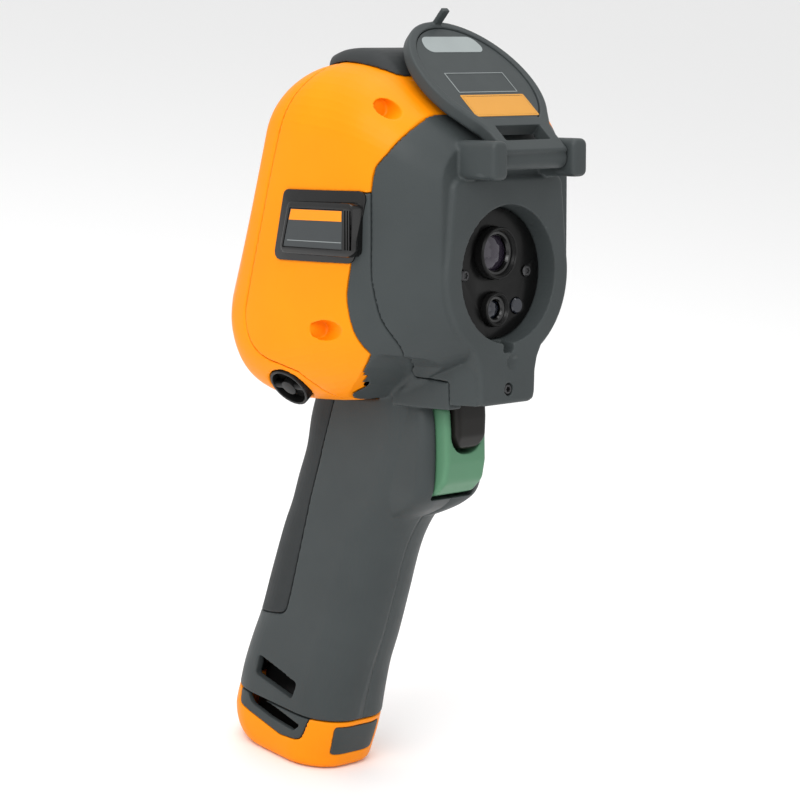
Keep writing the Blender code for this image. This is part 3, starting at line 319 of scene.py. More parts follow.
def turned(name, profile, place, steps=72, axis="Y"):
    """A closed profile of (radius, height) turned about an axis through the place's origin."""
    bm = bmesh.new()
    rings = []
    for i in range(steps):
        a = 2 * pi * i / steps
        rings.append([bm.verts.new(AXES[axis] @ Vector((r * cos(a), r * sin(a), h))) for r, h in profile])
    for one, two in zip(rings, rings[1:] + rings[:1]):
        for i in range(len(profile)):
            j = (i + 1) % len(profile)
            bm.faces.new((one[i], two[i], two[j], one[j]))
    bmesh.ops.remove_doubles(bm, verts=bm.verts, dist=0.001)
    return make(name, bm, place)


def settle(obj):
    """The object's modifiers worked into its mesh."""
    depsgraph = bpy.context.evaluated_depsgraph_get()
    mesh = bpy.data.meshes.new_from_object(obj.evaluated_get(depsgraph))
    obj.modifiers.clear()
    obj.data = mesh
    return obj


def carve(obj, operation, *others):
    for other in others:
        step = obj.modifiers.new(other.name, "BOOLEAN")
        step.operation = operation
        step.object = other
        step.solver = "EXACT"
    settle(obj)
    return obj


def drop(*objects):
    for obj in objects:
        bpy.data.objects.remove(obj)


def cut(obj, *others):
    return carve(obj, "DIFFERENCE", *others)


def keep(obj, *others):
    return carve(obj, "INTERSECT", *others)


def join(obj, *others):
    return carve(obj, "UNION", *others)


def soften(obj, voxel=0.6, rounds=3, share=0.2):
    """Moulded edges: an even skin, smoothed, then thinned where it is flat."""
    skin_step = obj.modifiers.new("skin", "REMESH")
    skin_step.mode = "VOXEL"
    skin_step.voxel_size = voxel * MM
    smooth_step = obj.modifiers.new("smooth", "SMOOTH")
    smooth_step.factor = 0.5
    smooth_step.iterations = rounds
    thin_step = obj.modifiers.new("thin", "DECIMATE")
    thin_step.ratio = share
    settle(obj)
    obj.data.shade_smooth()
    return obj


def bevelled(obj, width=0.4, segments=3, angle=32):
    weld = obj.modifiers.new("weld", "WELD")
    weld.merge_threshold = 0.00001
    edge = obj.modifiers.new("edge", "BEVEL")
    edge.width = width * MM
    edge.segments = segments
    edge.limit_method = "ANGLE"
    edge.angle_limit = radians(angle)
    edge.use_clamp_overlap = True
    settle(obj)
    obj.data.shade_smooth()
    obj.data.set_sharp_from_angle(angle=radians(40))
    return obj


def copy_of(node, name):
    """A new object with a frame part's mesh."""
    obj = bpy.data.objects.new(name, frame["nodes"][node].data.copy())
    bpy.context.scene.collection.objects.link(obj)
    bm = bmesh.new()
    bm.from_mesh(obj.data)
    bmesh.ops.remove_doubles(bm, verts=bm.verts, dist=0.000005)
    bmesh.ops.dissolve_limit(bm, angle_limit=radians(0.5), verts=bm.verts, edges=bm.edges)
    bm.to_mesh(obj.data)
    bm.free()
    obj.data.materials.clear()
    return obj


def show(obj, look, body, slot, *nodes):
    """A finished piece: its material, the body it moves with, and the frame parts it stands for; the slot argument
    is not used.
    """
    obj.data.materials.clear()
    obj.data.materials.append(look)
    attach(obj, body)
    if nodes:
        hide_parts(*nodes)
    return obj


# ------------------------------------------------------------------ materials
def socket_noise(tree, scale, detail, coords):
    noise = tree.nodes.new("ShaderNodeTexNoise")
    noise.inputs["Scale"].default_value = scale
    noise.inputs["Detail"].default_value = detail
    tree.links.new(coords, noise.inputs["Vector"])
    return noise.outputs["Fac"]


def ramp(tree, value, stops):
    node = tree.nodes.new("ShaderNodeValToRGB")
    node.color_ramp.elements[0].position = stops[0][0]
    node.color_ramp.elements[1].position = stops[1][0]
    for element, (_, colour) in zip(node.color_ramp.elements, stops):
        element.color = (*colour, 1)
    tree.links.new(value, node.inputs["Fac"])
    return node.outputs["Color"]


def spread(tree, value, low, high):
    node = tree.nodes.new("ShaderNodeMapRange")
    node.inputs["To Min"].default_value = low
    node.inputs["To Max"].default_value = high
    tree.links.new(value, node.inputs["Value"])
    return node.outputs["Result"]


def surface(name, colour, rough, grain=1400.0, bump=0.06, edge_highlight_and_wear=0.35, metallic=0.0, coat=0.0,
            rough_spread=0.08, tint=0.06, shine=0.22):
    """A moulded or machined surface: fine grain, uneven gloss, slow colour drift and paler edges, partly edge wear
    and partly a painted highlight.
    """
    mat = bpy.data.materials.new(name)
    mat.use_nodes = True
    tree = mat.node_tree
    shader = tree.nodes["Principled BSDF"]
    coords = tree.nodes.new("ShaderNodeTexCoord").outputs["Object"]
    drift = socket_noise(tree, 38.0, 3.0, coords)
    darker = tuple(c * (1 - tint) for c in colour)
    lighter = tuple(min(1.0, c * (1 + tint)) for c in colour)
    base = ramp(tree, drift, [(0.3, darker), (0.7, lighter)])
    # paler convex edges: partly edge wear, partly a painted highlight along the edges
    edge = tree.nodes.new("ShaderNodeNewGeometry").outputs["Pointiness"]
    edge_highlight_and_wear_mask = ramp(tree, edge, [(0.52, (0, 0, 0)), (0.62, (edge_highlight_and_wear, edge_highlight_and_wear, edge_highlight_and_wear))])
    mix = tree.nodes.new("ShaderNodeMix")
    mix.data_type = "RGBA"
    edge_highlight_and_wear_colour = tuple(min(1.0, c * 1.35 + 0.03) for c in colour)
    tree.links.new(edge_highlight_and_wear_mask, mix.inputs["Factor"])
    tree.links.new(base, mix.inputs["A"])
    mix.inputs["B"].default_value = (*edge_highlight_and_wear_colour, 1)
    tree.links.new(mix.outputs["Result"], shader.inputs["Base Color"])
    patches = socket_noise(tree, 160.0, 4.0, coords)
    gloss = spread(tree, patches, rough - rough_spread, rough + rough_spread)
    tree.links.new(gloss, shader.inputs["Roughness"])
    shader.inputs["Metallic"].default_value = metallic
    shader.inputs["Coat Weight"].default_value = coat
    shader.inputs["Specular IOR Level"].default_value = shine
    if bump:
        grains = socket_noise(tree, grain, 2.0, coords)
        node = tree.nodes.new("ShaderNodeBump")
        node.inputs["Strength"].default_value = bump
        node.inputs["Distance"].default_value = 0.0004
        tree.links.new(grains, node.inputs["Height"])
        tree.links.new(node.outputs["Normal"], shader.inputs["Normal"])
    return mat


YELLOW = surface("yellow_moulding", (0.88, 0.25, 0.001), 0.42, bump=0.05, tint=0.03, shine=0.14)
GREY = surface("grey_moulding", (0.040, 0.047, 0.048), 0.50, bump=0.08, tint=0.06)
VISOR = surface("visor_rubber", (0.026, 0.029, 0.030), 0.60, grain=1000, bump=0.10)
PAD = surface("grip_rubber", (0.024, 0.027, 0.028), 0.62, grain=900, bump=0.16)
COVER_BACK = surface("cover_panel_moulding", (0.040, 0.047, 0.048), 0.45, bump=0.04)
BLACK = surface("black_moulding", (0.006, 0.006, 0.006), 0.38, bump=0.05, edge_highlight_and_wear=0.1)
GLOSS = surface("gloss_black", (0.003, 0.003, 0.003), 0.18, bump=0.0, shine=0.5, edge_highlight_and_wear=0.05, rough_spread=0.04)
PLATE = surface("plate_black", (0.002, 0.002, 0.002), 0.30, bump=0.03, edge_highlight_and_wear=0.1, rough_spread=0.05)
GREEN = surface("green_moulding", (0.085, 0.210, 0.120), 0.38, bump=0.04, tint=0.04)
UPPER = surface("upper_trigger_black", (0.008, 0.007, 0.006), 0.36, bump=0.05, edge_highlight_and_wear=0.2)
STEEL = surface("steel", (0.45, 0.45, 0.46), 0.30, bump=0.03, metallic=1.0)
DARK_STEEL = surface("dark_steel", (0.05, 0.05, 0.052), 0.32, bump=0.03, metallic=0.8)
BOARD = surface("board_green", (0.02, 0.12, 0.05), 0.45)
FOIL = surface("cell_foil", (0.25, 0.27, 0.3), 0.4)
LABEL_GREY = surface("label_grey", (0.045, 0.050, 0.052), 0.42, bump=0.0, edge_highlight_and_wear=0.0)
LABEL_YELLOW = surface("label_yellow", (0.86, 0.26, 0.006), 0.36, bump=0.0, edge_highlight_and_wear=0.0, tint=0.03)
LABEL_PALE = surface("label_pale", (0.56, 0.26, 0.040), 0.42, bump=0.0, edge_highlight_and_wear=0.0, tint=0.03)
PATCH = surface("patch_grey", (0.27, 0.30, 0.30), 0.32, bump=0.02, edge_highlight_and_wear=0.0, tint=0.05)
LINE_PALE = surface("line_pale", (0.22, 0.24, 0.24), 0.5, bump=0.0, edge_highlight_and_wear=0.0)
KEYS = surface("key_rubber", (0.045, 0.048, 0.05), 0.55, bump=0.06)
ICON = surface("icon_pale", (0.6, 0.62, 0.62), 0.5, bump=0.0, edge_highlight_and_wear=0.0)


def glass_look(name, colour, rough, coat_tint):
    mat = surface(name, colour, rough, bump=0.0, edge_highlight_and_wear=0.0, rough_spread=0.02)
    shader = mat.node_tree.nodes["Principled BSDF"]
    shader.inputs["Coat Weight"].default_value = 1.0
    shader.inputs["Coat Roughness"].default_value = 0.03
    shader.inputs["Coat Tint"].default_value = (*coat_tint, 1)
    return mat


IR_GLASS = glass_look("infrared_lens", (0.020, 0.016, 0.022), 0.12, (0.85, 0.8, 0.95))
CLEAR_GLASS = glass_look("camera_lens_glass", (0.006, 0.007, 0.010), 0.08, (0.8, 0.85, 1.0))
SCREEN = glass_look("display_glass", (0.008, 0.009, 0.011), 0.10, (0.95, 0.97, 1.0))

# ------------------------------------------------------------------ casing regions seen from the side, (y, z)
FAR = 120.0
BROW = spline([(12.5, 58), (13.2, 51), (17, 43.4), (21.4, 37.4), (22.8, 29.2)], 8)
NOTCH = [(58.6, 28.9), (64.0, 5.4), (30.2, 5.2)]
CHEEK = spline([(30.2, 5.2), (32.2, -6.2), (30.6, -15.8), (28.2, -22.4), (25.9, -26.6)], 8)
TAIL = [(28.7, -30.3), (34, -35.8), (40, -40.3), (45.4, -44.0), (47, -52)]
REAR_CURVE = spline([(58.3, 62), (65.8, 39.3), (72.5, 16), (79.6, -9), (80.6, -17), (78, -25), (72, -30),
                     (64, -32.6)], 8)
PARTING = [(53, FAR), (53.5, 72)] + REAR_CURVE + [(57, -34.8), (52.6, -39.5), (49.4, -45), (49.2, -52)]
SEAM = spline([(22.8, 29.2), (22.8, 16.5), (22.8, 2), (22, -5), (19.9, -13.6), (17.9, -18.8), (16.6, -23.4),
               (17.2, -27), (21.4, -30.6), (26.0, -34.2)], 8) + [(26.4, -36.4), (13.2, -37.6), (12.6, -52)]
YELLOW_REGION = [(12.5, FAR)] + BROW + NOTCH + CHEEK[1:] + TAIL + PARTING[:0:-1]
BEZEL_REGION = PARTING + [(FAR, -60), (FAR, FAR)]
FRONT_REGION = [(-FAR, FAR), (12.5, FAR)] + BROW + SEAM[1:] + [(-FAR, -52)]
NECK_REGION = BROW[-1:] + NOTCH + CHEEK[1:] + TAIL + SEAM[:0:-1]

# plan of the front and the handle under the cheeks, as (height, half widths at five depths)
UNDERCUT = [
    (-21, [(60, 5), (60, 14), (60, 20), (60, 25), (60, 30)]),
    (-26, [(40, 5), (40, 14), (42, 20), (46, 25), (60, 30)]),
    (-29, [(26, 5), (28, 14), (31, 20), (38, 25), (60, 31)]),
    (-32, [(20, 5), (21.5, 14), (24, 21), (30, 26), (60, 34)]),
    (-36, [(17, 5), (18.5, 14), (20.5, 25), (25, 31), (60, 38)]),
    (-40, [(15, 5), (17.8, 14), (19.2, 30), (23, 37), (60, 43)]),
    (-46, [(14.5, 5), (17.6, 14), (18.8, 36), (21, 44), (60, 50)]),
    (-58, [(14.5, 5), (17.6, 14), (18.8, 36), (21, 44), (60, 50)]),
]


def region(outline):
    return prism("region", "YZ", grown(outline, -GAP / 2), -70, 70)


def head_cavity():
    """The room inside the head, clear of its flat front and rear faces."""
    first, *middle, last, rear = inset(HEAD_RIBS, HEAD_WALL)
    ribs = [moved(first, 2.6, 0)] + middle + [moved(last, -1.4, -0.4), moved(rear, -WALL, -0.9)]
    return loft("head_cavity", ribs, 8, 2)


def undercut_rows(wall):
    """The undercut's plan at each listed height, moved inwards by a wall."""
    return [(height + wall, [(half - wall, y + wall) for half, y in side]) for height, side in UNDERCUT]


def undercut_ring(height, side):
    """A closed ring at a height: the side line run on to the front and rear, and its mirror image."""
    side = spline(side, 5)
    right = [(side[0][0], -30)] + side + [(60.0, FAR)]
    return [(x, y, height) for x, y in right] + [(-x, y, height) for x, y in reversed(right)]


def undercut_body(wall):
    """What the front and the handle keep under the cheeks, or its inside."""
    rows = undercut_rows(wall)
    bm = bmesh.new()
    skin(bm, [undercut_ring(60, rows[0][1])] + [undercut_ring(*row) for row in rows])
    return make("undercut", bm)


cavity = head_cavity()
undercut = undercut_body(0)
undercut_inside = undercut_body(HEAD_WALL)
neck_cavity = head_cavity()
keep(neck_cavity, undercut_inside)
head_clear = loft("head_clear", inset(HEAD_RIBS, -GAP), 12, 4)

# ------------------------------------------------------------------ rear bezel
KEY_AREAS = {
    "key_left_soft": (-22, -9.6, 15, 6.4), "key_middle_soft": (0, -9.6, 15, 6.4),
    "key_right_soft": (22, -9.6, 15, 6.4), "key_up": (0, -17.0, 10, 5.2), "key_down": (0, -27.4, 10, 5.2),
    "key_left": (-11, -22.2, 7, 8), "key_right": (11, -22.2, 7, 8), "key_power": (-27, -22.2, 9, 7),
    "key_gallery": (27, -22.2, 9, 7),
}
bm = bmesh.new()
prism_into(bm, "XZ", rounded_rect(WINDOW_W, WINDOW_H, 4, (0, WINDOW_V)), -6, 3)
for kx, kv, kw, kh in KEY_AREAS.values():
    prism_into(bm, "XZ", rounded_rect(kw + 2 * GAP, kh + 2 * GAP, 1.9, (kx, kv), 4), -6, 3)
face_holes = make("face_holes", bm, FACE)
bezel = loft("bezel_moulding", HEAD_RIBS)
bezel_region = region(BEZEL_REGION)
keep(bezel, bezel_region)
cut(bezel, cavity, face_holes)
ANCHOR_R = 8.4
head_body = loft("head_body", inset(HEAD_RIBS, 0.4))
for sign in (-1, 1):
    place = OPTICAL @ shift(sign * 43.4, 66.0, -41.4) @ Matrix.Rotation(sign * -radians(52), 4, "Y")
    seat = rod("seat", "Z", ANCHOR_R + 1.8, (0, 0, 1.4), 5.2, place=place)
    dish = rod("dish", "Z", ANCHOR_R, (0, 0, -8), 12.4, place=place)
    keep(seat, head_body)
    join(bezel, seat)
    cut(bezel, dish)
    drop(seat, dish)
keep(bezel, bezel_region)
drop(bezel_region, face_holes, head_body)
show(soften(bezel, 0.6, 2, 0.22), YELLOW, "camera", "yellow_shell", "rear_bezel")

# ------------------------------------------------------------------ side shell
side = loft("side_moulding", HEAD_RIBS)
yellow_region = region(YELLOW_REGION)
keep(side, yellow_region)
# sunk screws of the side shell: mouth (x, y, z), length, outward lean in degrees; and their radii
SCREW_SITES = (((39.6, 12.0, 57.7), 14.6, 6), ((53.2, 32.0, -19.0), 16.4, 22))
SCREW_RECESS_R, SCREW_BOSS_R, BOSS_FLOOR = 3.5, 5.0, 1.5


def screw_rods_into(bm, radius, extra):
    """A rod at each screw site, longer than the site by extra."""
    for (x, y, z), site_length, lean in SCREW_SITES:
        length = site_length + extra
        for sign in (-1, 1):
            turn = Matrix.Translation((sign * x, y, z)) @ Matrix.Rotation(sign * radians(lean), 4, "Z")
            bmesh.ops.create_cone(bm, cap_ends=True, segments=48, radius1=radius, radius2=radius,
                                  depth=length,
                                  matrix=turn @ AXES["Y"] @ Matrix.Translation((0, 0, length / 2)))


bm = bmesh.new()
block_into(bm, (-17, 37, 60), (17, 53, 80))
screw_rods_into(bm, SCREW_RECESS_R, 0)
side_cuts = make("side_cuts", bm)
bm = bmesh.new()
screw_rods_into(bm, SCREW_BOSS_R, BOSS_FLOOR)
bosses = make("bosses", bm)
head_body = loft("head_body", inset(HEAD_RIBS, 0.4))
keep(bosses, head_body, yellow_region)
cut(side, cavity)
join(side, bosses)
cut(side, side_cuts)
drop(yellow_region, side_cuts, bosses, head_body)
show(soften(side, 0.42, 2, 0.16), YELLOW, "camera", "yellow_shell", "side_shell")


# ------------------------------------------------------------------ front housing
def ring_outline():
    right = [(11.0, -45.6), (13.2, -44.8), (14.0, -42.4), (14.3, -34.5), (15.4, -30.0)]
    right += arc((0, 0), RING_R, -56, 12, 40)
    right += rounded([(29.6, 22), (27.6, 34.0), (0, 34.2)], [0, 4, 0], 8)[1:-1]
    return right + [(-x, z) for x, z in reversed(right)]


def neck_outline(low, high):
    widths = [(3, 14.0), (7, 15.4), (11, 16.8), (16, 17.8), (24, 18.6), (39, 18.8)]
    part = [(y, w) for y, w in widths if low <= y <= high]
    return [(w, y) for y, w in part] + [(-w, y) for y, w in reversed(part)]


front = loft("front_moulding", HEAD_RIBS[:6])
keep(front, undercut)
bm = bmesh.new()
prism_into(bm, "XZ", ring_outline(), 0, 7, 1.6, 0)
ring_block = make("ring_block", bm)
chin_block = prism("chin_block", "XY", neck_outline(3, 24), -45.6, -26)
join(front, ring_block, chin_block)
cut(front, neck_cavity)
cup = rod("cup", "Y", 27.0, (0, 2.5, 0), 10.0)
lugs = []
for sign in (-1, 1):
    lugs.append(prism("lug", "XZ", rounded_rect(7.4, 13.4, 2.4, (sign * 20.5, 40.4)), -14.8, 9, 1.8, 0))
join(front, cup, *lugs)
front_region = region(FRONT_REGION)
keep(front, front_region)
bm = bmesh.new()
rod_into(bm, "Y", RECESS_R + 0.15, (0, -1, 0), 10.2, 96, RECESS_FLOOR_R)
recess = make("recess", bm)
floor_cut = rod("floor_cut", "Y", 20.8, (0, 5, 0), 9.0)
notch = block("notch", (-2.6, -2, -27.4), (2.6, 7.2, -20))
bm = bmesh.new()
rod_into(bm, "X", 1.8, (-23.2, HINGE_Y, HINGE_Z), 46.4, 32)
rod_into(bm, "Y", 2.3, (0, -1, -40.4), 4.0, 32)
bores = make("bores", bm)
bm = bmesh.new()
bmesh.ops.create_uvsphere(bm, u_segments=40, v_segments=24, radius=4.6,
                          matrix=Matrix.Translation((2.0, -3.2, -31.0)))
dimple = make("dimple", bm)
cut(front, recess, floor_cut, notch, bores, dimple)
drop(ring_block, chin_block, cup, *lugs, front_region, recess, floor_cut, notch, bores, dimple)
show(soften(front, 0.5, 3, 0.2), GREY, "camera", "grey_shell", "front_housing")

# ------------------------------------------------------------------ handle
handle = loft("handle_whole", HEAD_RIBS)
neck = prism("neck", "XY", neck_outline(7, 40), -47.4, -30)
neck_region = region(NECK_REGION)
keep(handle, undercut)
join(handle, neck)
keep(handle, neck_region)
grip_solid = loft("grip_solid", GRIP_RIBS)
cut(grip_solid, head_clear)
lobe = loft("lobe", LOBE_RIBS)
join(handle, grip_solid, lobe)
grip_inner = inset(GRIP_RIBS[2:], GRIP_WALL)
grip_hollow = loft("grip_hollow", [((33, -36), (58, -36), 14.0, 8, 8), ((33, -46), (66, -46), 14.4, 9, 9)]
                   + grip_inner + [moved(grip_inner[-1], 1, -6)], 6, 1)
slot_cut = block("slot_cut", (-TRIGGER_HALF - 0.4, 9.6, -81.6), (TRIGGER_HALF + 0.4, 44, -39.6))
PAD_SIDE = rounded([(64, -34), (82.2, -86), (92.6, -122), (95.5, -130.8), (140, -133.5), (140, -34)],
                   [0, 0, 0, 5, 0, 0], 6)
pad_seat = prism("pad_seat", "YZ", PAD_SIDE, -40, 40)
pad_core = loft("pad_core", inset(GRIP_RIBS, PAD_DEPTH + GAP))
cut(pad_seat, pad_core)
window = prism("window", "YZ", rounded([(109.0, -147.6), (88.4, -155.8), (91.2, -162.0), (110.6, -155.2)],
                                       [1] * 4, 4), -40, 40)
tongue_seat = loft("tongue_seat", [moved(inset(TONGUE_RIBS[:1], -GAP)[0], 0, 0.5)]
                   + inset(TONGUE_RIBS[1:], -GAP), 8, 1)
bm = bmesh.new()
for pivot in (MAIN_PIVOT, UPPER_PIVOT):
    rod_into(bm, "X", 1.8, (-16.3, *pivot), 32.6, 24)
pin_bores = make("pin_bores", bm)
cut(handle, neck_cavity, grip_hollow, slot_cut, pad_seat, window, tongue_seat, pin_bores)
soften(handle, 0.5, 3, 0.25)
for sign, hand in SIDES:
    half = bpy.data.objects.new("handle_moulding_" + hand, handle.data.copy())
    bpy.context.scene.collection.objects.link(half)
    bm = bmesh.new()
    bm.from_mesh(half.data)
    split = bmesh.ops.bisect_plane(
        bm, geom=bm.verts[:] + bm.edges[:] + bm.faces[:], plane_co=(sign * 0.00006, 0, 0),
        plane_no=(-sign, 0, 0), clear_outer=True)
    rim = [e for e in split["geom_cut"] if isinstance(e, bmesh.types.BMEdge)]
    bmesh.ops.triangle_fill(bm, edges=rim, use_beauty=True)
    bm.to_mesh(half.data)
    bm.free()
    show(half, GREY, "camera", "grey_shell", "handle_" + hand)
pad = loft("grip_pad_moulding", GRIP_RIBS)
pad_region = prism("pad_region", "YZ", grown(PAD_SIDE, -GAP), -40, 40)
keep(pad, pad_region)
pad_inner = loft("pad_inner", inset(GRIP_RIBS, PAD_DEPTH))
cut(pad, pad_inner, head_clear)
show(soften(pad, 0.45, 2, 0.3), PAD, "camera", "dark_rubber", "grip_pad")
drop(handle, neck, neck_region, grip_solid, lobe, grip_hollow, slot_cut, pad_seat, pad_core, window,
     tongue_seat, pin_bores, pad_region, pad_inner)

# ------------------------------------------------------------------ top cover of the port bay
visor = loft("visor_moulding", VISOR_RIBS)
cut(visor, head_clear)
show(soften(visor, 0.45, 3, 0.3), VISOR, "port_cover", "dark_rubber", "port_cover")

# ------------------------------------------------------------------ battery
cap = loft("battery_moulding", BATTERY_RIBS)
tongue = loft("tongue", TONGUE_RIBS)
cap_inner = inset(BATTERY_RIBS[:3], WALL)
cap_hollow = loft("cap_hollow", [moved(cap_inner[0], 0, 2)] + cap_inner[1:]
                  + [((83.0, -185.6), (121.4, -178.0), 15.6, 11, 11)], 8, 1)
LATCH_SIDE = rounded([(83.2, -160), (82.4, -168), (86.6, -177.2), (97.0, -176.2), (119.4, -167.6),
                      (119.6, -157)], [0, 2, 4, 6, 2, 0], 6)
SLIT = rounded([(86.4, -171.2), (99.4, -166.2), (115.4, -161.6), (112.4, -166.6), (102, -170.4),
                (89.6, -173.6)], [0.6, 8, 0.6, 5, 6, 1.4], 6)
PANEL = rounded([(-11.6, 2.4), (11.6, 2.4), (10.8, -9.6), (-10.8, -9.6)], [1.6] * 4, 6)
join(cap, tongue)
cut(cap, cap_hollow)
panel_seat = prism("panel_seat", "XZ", PANEL, -60, -20, place=GRIP)
panel_core = loft("panel_core", [moved(rib, 0.9, 0) for rib in BATTERY_RIBS])
cut(panel_seat, panel_core)
cut(cap, panel_seat)
for sign, hand in SIDES:
    low, high = sorted((sign * 13.8, sign * 40))
    latch_seat = prism("latch_seat", "YZ", LATCH_SIDE, low, high)
    cut(cap, latch_seat)
    latch = loft("latch_moulding_" + hand, [moved(BATTERY_RIBS[0], 0, -0.1)] + BATTERY_RIBS[1:])
    low, high = sorted((sign * 14.1, sign * 40))
    latch_region = prism("latch_region", "YZ", grown(LATCH_SIDE, -GAP), low, high)
    slit = prism("slit", "YZ", SLIT, -40, 40)
    keep(latch, latch_region)
    cut(latch, slit, cap_hollow)
    show(soften(latch, 0.35, 2, 0.4), GREY, "latch_" + hand, "grey_shell", "battery_latch_" + hand)
    drop(latch_seat, latch_region, slit)
show(soften(cap, 0.45, 2, 0.3), YELLOW, "battery", "yellow_shell", "battery_cap")
front_panel = loft("front_panel_moulding", BATTERY_RIBS)
panel_region = prism("panel_region", "XZ", grown(PANEL, -GAP), -60, -20, place=GRIP)
panel_inner = loft("panel_inner", [moved(rib, 0.6, 0) for rib in BATTERY_RIBS])
keep(front_panel, panel_region)
cut(front_panel, panel_inner)
show(bevelled(front_panel, 0.2, 2), GREY, "battery", "grey_shell", "battery_front_panel")
drop(tongue, cap_hollow, panel_seat, panel_core, panel_region, panel_inner)


# ------------------------------------------------------------------ lens cover
def cover_disc(half, reach, top=None):
    start = 38.0 if top is None else degrees(asin((COVER_CENTRE + top) / reach))
    turn = [radians(start - (180 + 2 * start) * i / 96) for i in range(97)]
    return [(half * cos(a), -COVER_CENTRE + reach * sin(a)) for a in turn]


def cover_outline():
    neck_side = [(16.2, 1.0)] + spline([(16.2, -8.6), (17.0, -11.2), (18.6, -13.6)], 4)
    return neck_side + cover_disc(COVER_HALF, COVER_REACH) + [(-x, z) for x, z in reversed(neck_side)]


POCKET_RIM, POCKET_TOP, POCKET_DEPTH = 3.2, -15.5, 1.7
pocket = cover_disc(COVER_HALF - POCKET_RIM, COVER_REACH - POCKET_RIM, POCKET_TOP)
lid = prism("lens_cover_moulding", "XZ", cover_outline(), COVER_INNER - COVER_THICK, COVER_INNER, 1.4, 0.8,
            place=COVER)
barrel = rod("barrel", "X", 3.5, (-16.4, 0, 0), 32.8, 48, place=COVER)
hook = block("hook", (-1.7, 4.4, -64.6), (1.7, 12.0, -62.8), place=COVER)
join(lid, barrel, hook)
pocket_cut = prism("pocket", "XZ", pocket, COVER_INNER - POCKET_DEPTH, 9, place=COVER)
neck_cut = block("neck_cut", (-11.5, -3, -11.6), (11.5, 9, -4.4), place=COVER)
pin_cut = rod("pin_cut", "X", 1.8, (-20, 0, 0), 40, 24, place=COVER)
cut(lid, pocket_cut, neck_cut, pin_cut)
show(soften(lid, 0.35, 2, 0.25), GREY, "cover", "grey_shell", "lens_cover")
inner_panel = prism("cover_panel_moulding", "XZ", grown(pocket, -GAP),
                    COVER_INNER - POCKET_DEPTH + GAP, COVER_INNER - 0.6, 0, 0.25, place=COVER)
show(inner_panel, COVER_BACK, "cover", "dark_rubber", "cover_panel")
drop(barrel, hook, pocket_cut, neck_cut, pin_cut, cavity, head_clear, undercut,
     undercut_inside, neck_cavity)

# ------------------------------------------------------------------ smaller parts that stand for a frame part
BODY_OF = {node: body for body, nodes in frame["record"]["behaviour"]["bodies"].items() for node in nodes}
SLOT_OF = {row["node"]: row["material_slot"] for row in frame["record"]["subparts"]}


def stands_in(obj, look, node):
    return show(obj, look, BODY_OF[node], SLOT_OF[node], node)


def detail(obj, look, node):
    """An added detail that moves with a frame part and leaves that part as it is."""
    return show(obj, look, BODY_OF[node], SLOT_OF[node])


# ------------------------------------------------------------------ triggers
def cup_outline(half, bottom, radius):
    return rounded([(-half, -36), (half, -36), (half, bottom), (-half, bottom)], [0, 0, radius, radius], 12)


def trigger(node, look, outline, radii, half, pivot, shaping, cutter):
    body = prism(node + "_moulding", "YZ", rounded(outline, radii, 8), -half, half, 1.6, 1.6)
    bore = rod("bore", "X", 1.8, (-20, *pivot), 40, 24)
    shaping(body, cutter)
    cut(body, bore)
    drop(cutter, bore)
    stands_in(soften(body, 0.35, 7, 0.35), look, node)


trigger("main_trigger", GREEN,
        [(38.4, -41.2), (30.0, -41.2), (29.6, -47.8), (20.9, -47.8), (20.2, -56), (20.0, -68), (21.4, -75),
         (26, -79.6), (31, -81.0), (38.4, -81.0), (38.6, -60)],
        [2, 2, 2, 2, 0, 6, 5, 4, 2, 3, 0], TRIGGER_HALF, MAIN_PIVOT, cut,
        prism("room", "XZ", cup_outline(UPPER_HALF + 0.4, -65.0, 6.8), 5, 30.6))
trigger("upper_trigger", UPPER,
        [(28.4, -40.8), (19.6, -40.8), (17.5, -44.8), (17.1, -52), (17.4, -58.5), (19.6, -63.4),
         (25.8, -63.4), (27.4, -59), (27.6, -48)],
        [2, 2, 3, 0, 3, 3, 2, 2, 3], UPPER_HALF, UPPER_PIVOT, keep,
        prism("cup_front", "XZ", cup_outline(UPPER_HALF, -63.4, 6.4), 5, 40))

# ------------------------------------------------------------------ lenses and their barrels
IR_PLACE, CAM_PLACE, SPOT_PLACE = (OPTICAL @ shift(x, 0, z)
                                   for x, z in ((IR_X, IR_Z), (CAM_X, CAM_Z), (SPOT_X, SPOT_Z)))
# each as (radius, depth) points, turned about the optic's own axis
IR_BARREL = [(9.2, 3.9), (8.9, 3.4), (8.5, 3.4), (8.3, 3.8), (8.0, 3.8), (7.6, 4.6), (7.6, 14.6), (9.2, 14.6)]
IR_RETAINER = [(7.5, 5.2), (7.5, 6.4), (6.5, 6.7), (6.2, 6.3), (6.7, 5.4)]
IR_DOME = [(0, 6.0), (2, 6.1), (3.5, 6.35), (5.2, 6.85), (6.5, 7.3), (7.2, 7.7), (7.2, 10.4), (0, 10.4)]
CAM_BARREL = [(6.0, 4.8), (5.7, 4.4), (5.4, 4.4), (5.2, 4.7), (5.0, 4.7), (4.6, 5.4), (4.6, 13.6),
              (6.0, 13.6)]
CAM_RETAINER = [(4.5, 5.7), (4.5, 6.7), (3.5, 6.9), (3.2, 6.5), (3.7, 5.9)]
CAM_DOME = [(0, 6.8), (1.2, 6.85), (2.2, 7.0), (3.3, 7.4), (4.2, 7.9), (4.2, 10.0), (0, 10.0)]
SPOT_DISC = [(0, 6.2), (2.4, 6.2), (2.8, 6.6), (2.8, 9.0), (0, 9.0)]
stands_in(turned("ir_barrel_ring", IR_BARREL, IR_PLACE), BLACK, "ir_lens_barrel")
detail(turned("ir_retaining_ring", IR_RETAINER, IR_PLACE), GLOSS, "ir_lens_barrel")
stands_in(turned("ir_lens_dome", IR_DOME, IR_PLACE), IR_GLASS, "ir_lens")
stands_in(turned("camera_barrel_ring", CAM_BARREL, CAM_PLACE), BLACK, "camera_barrel")
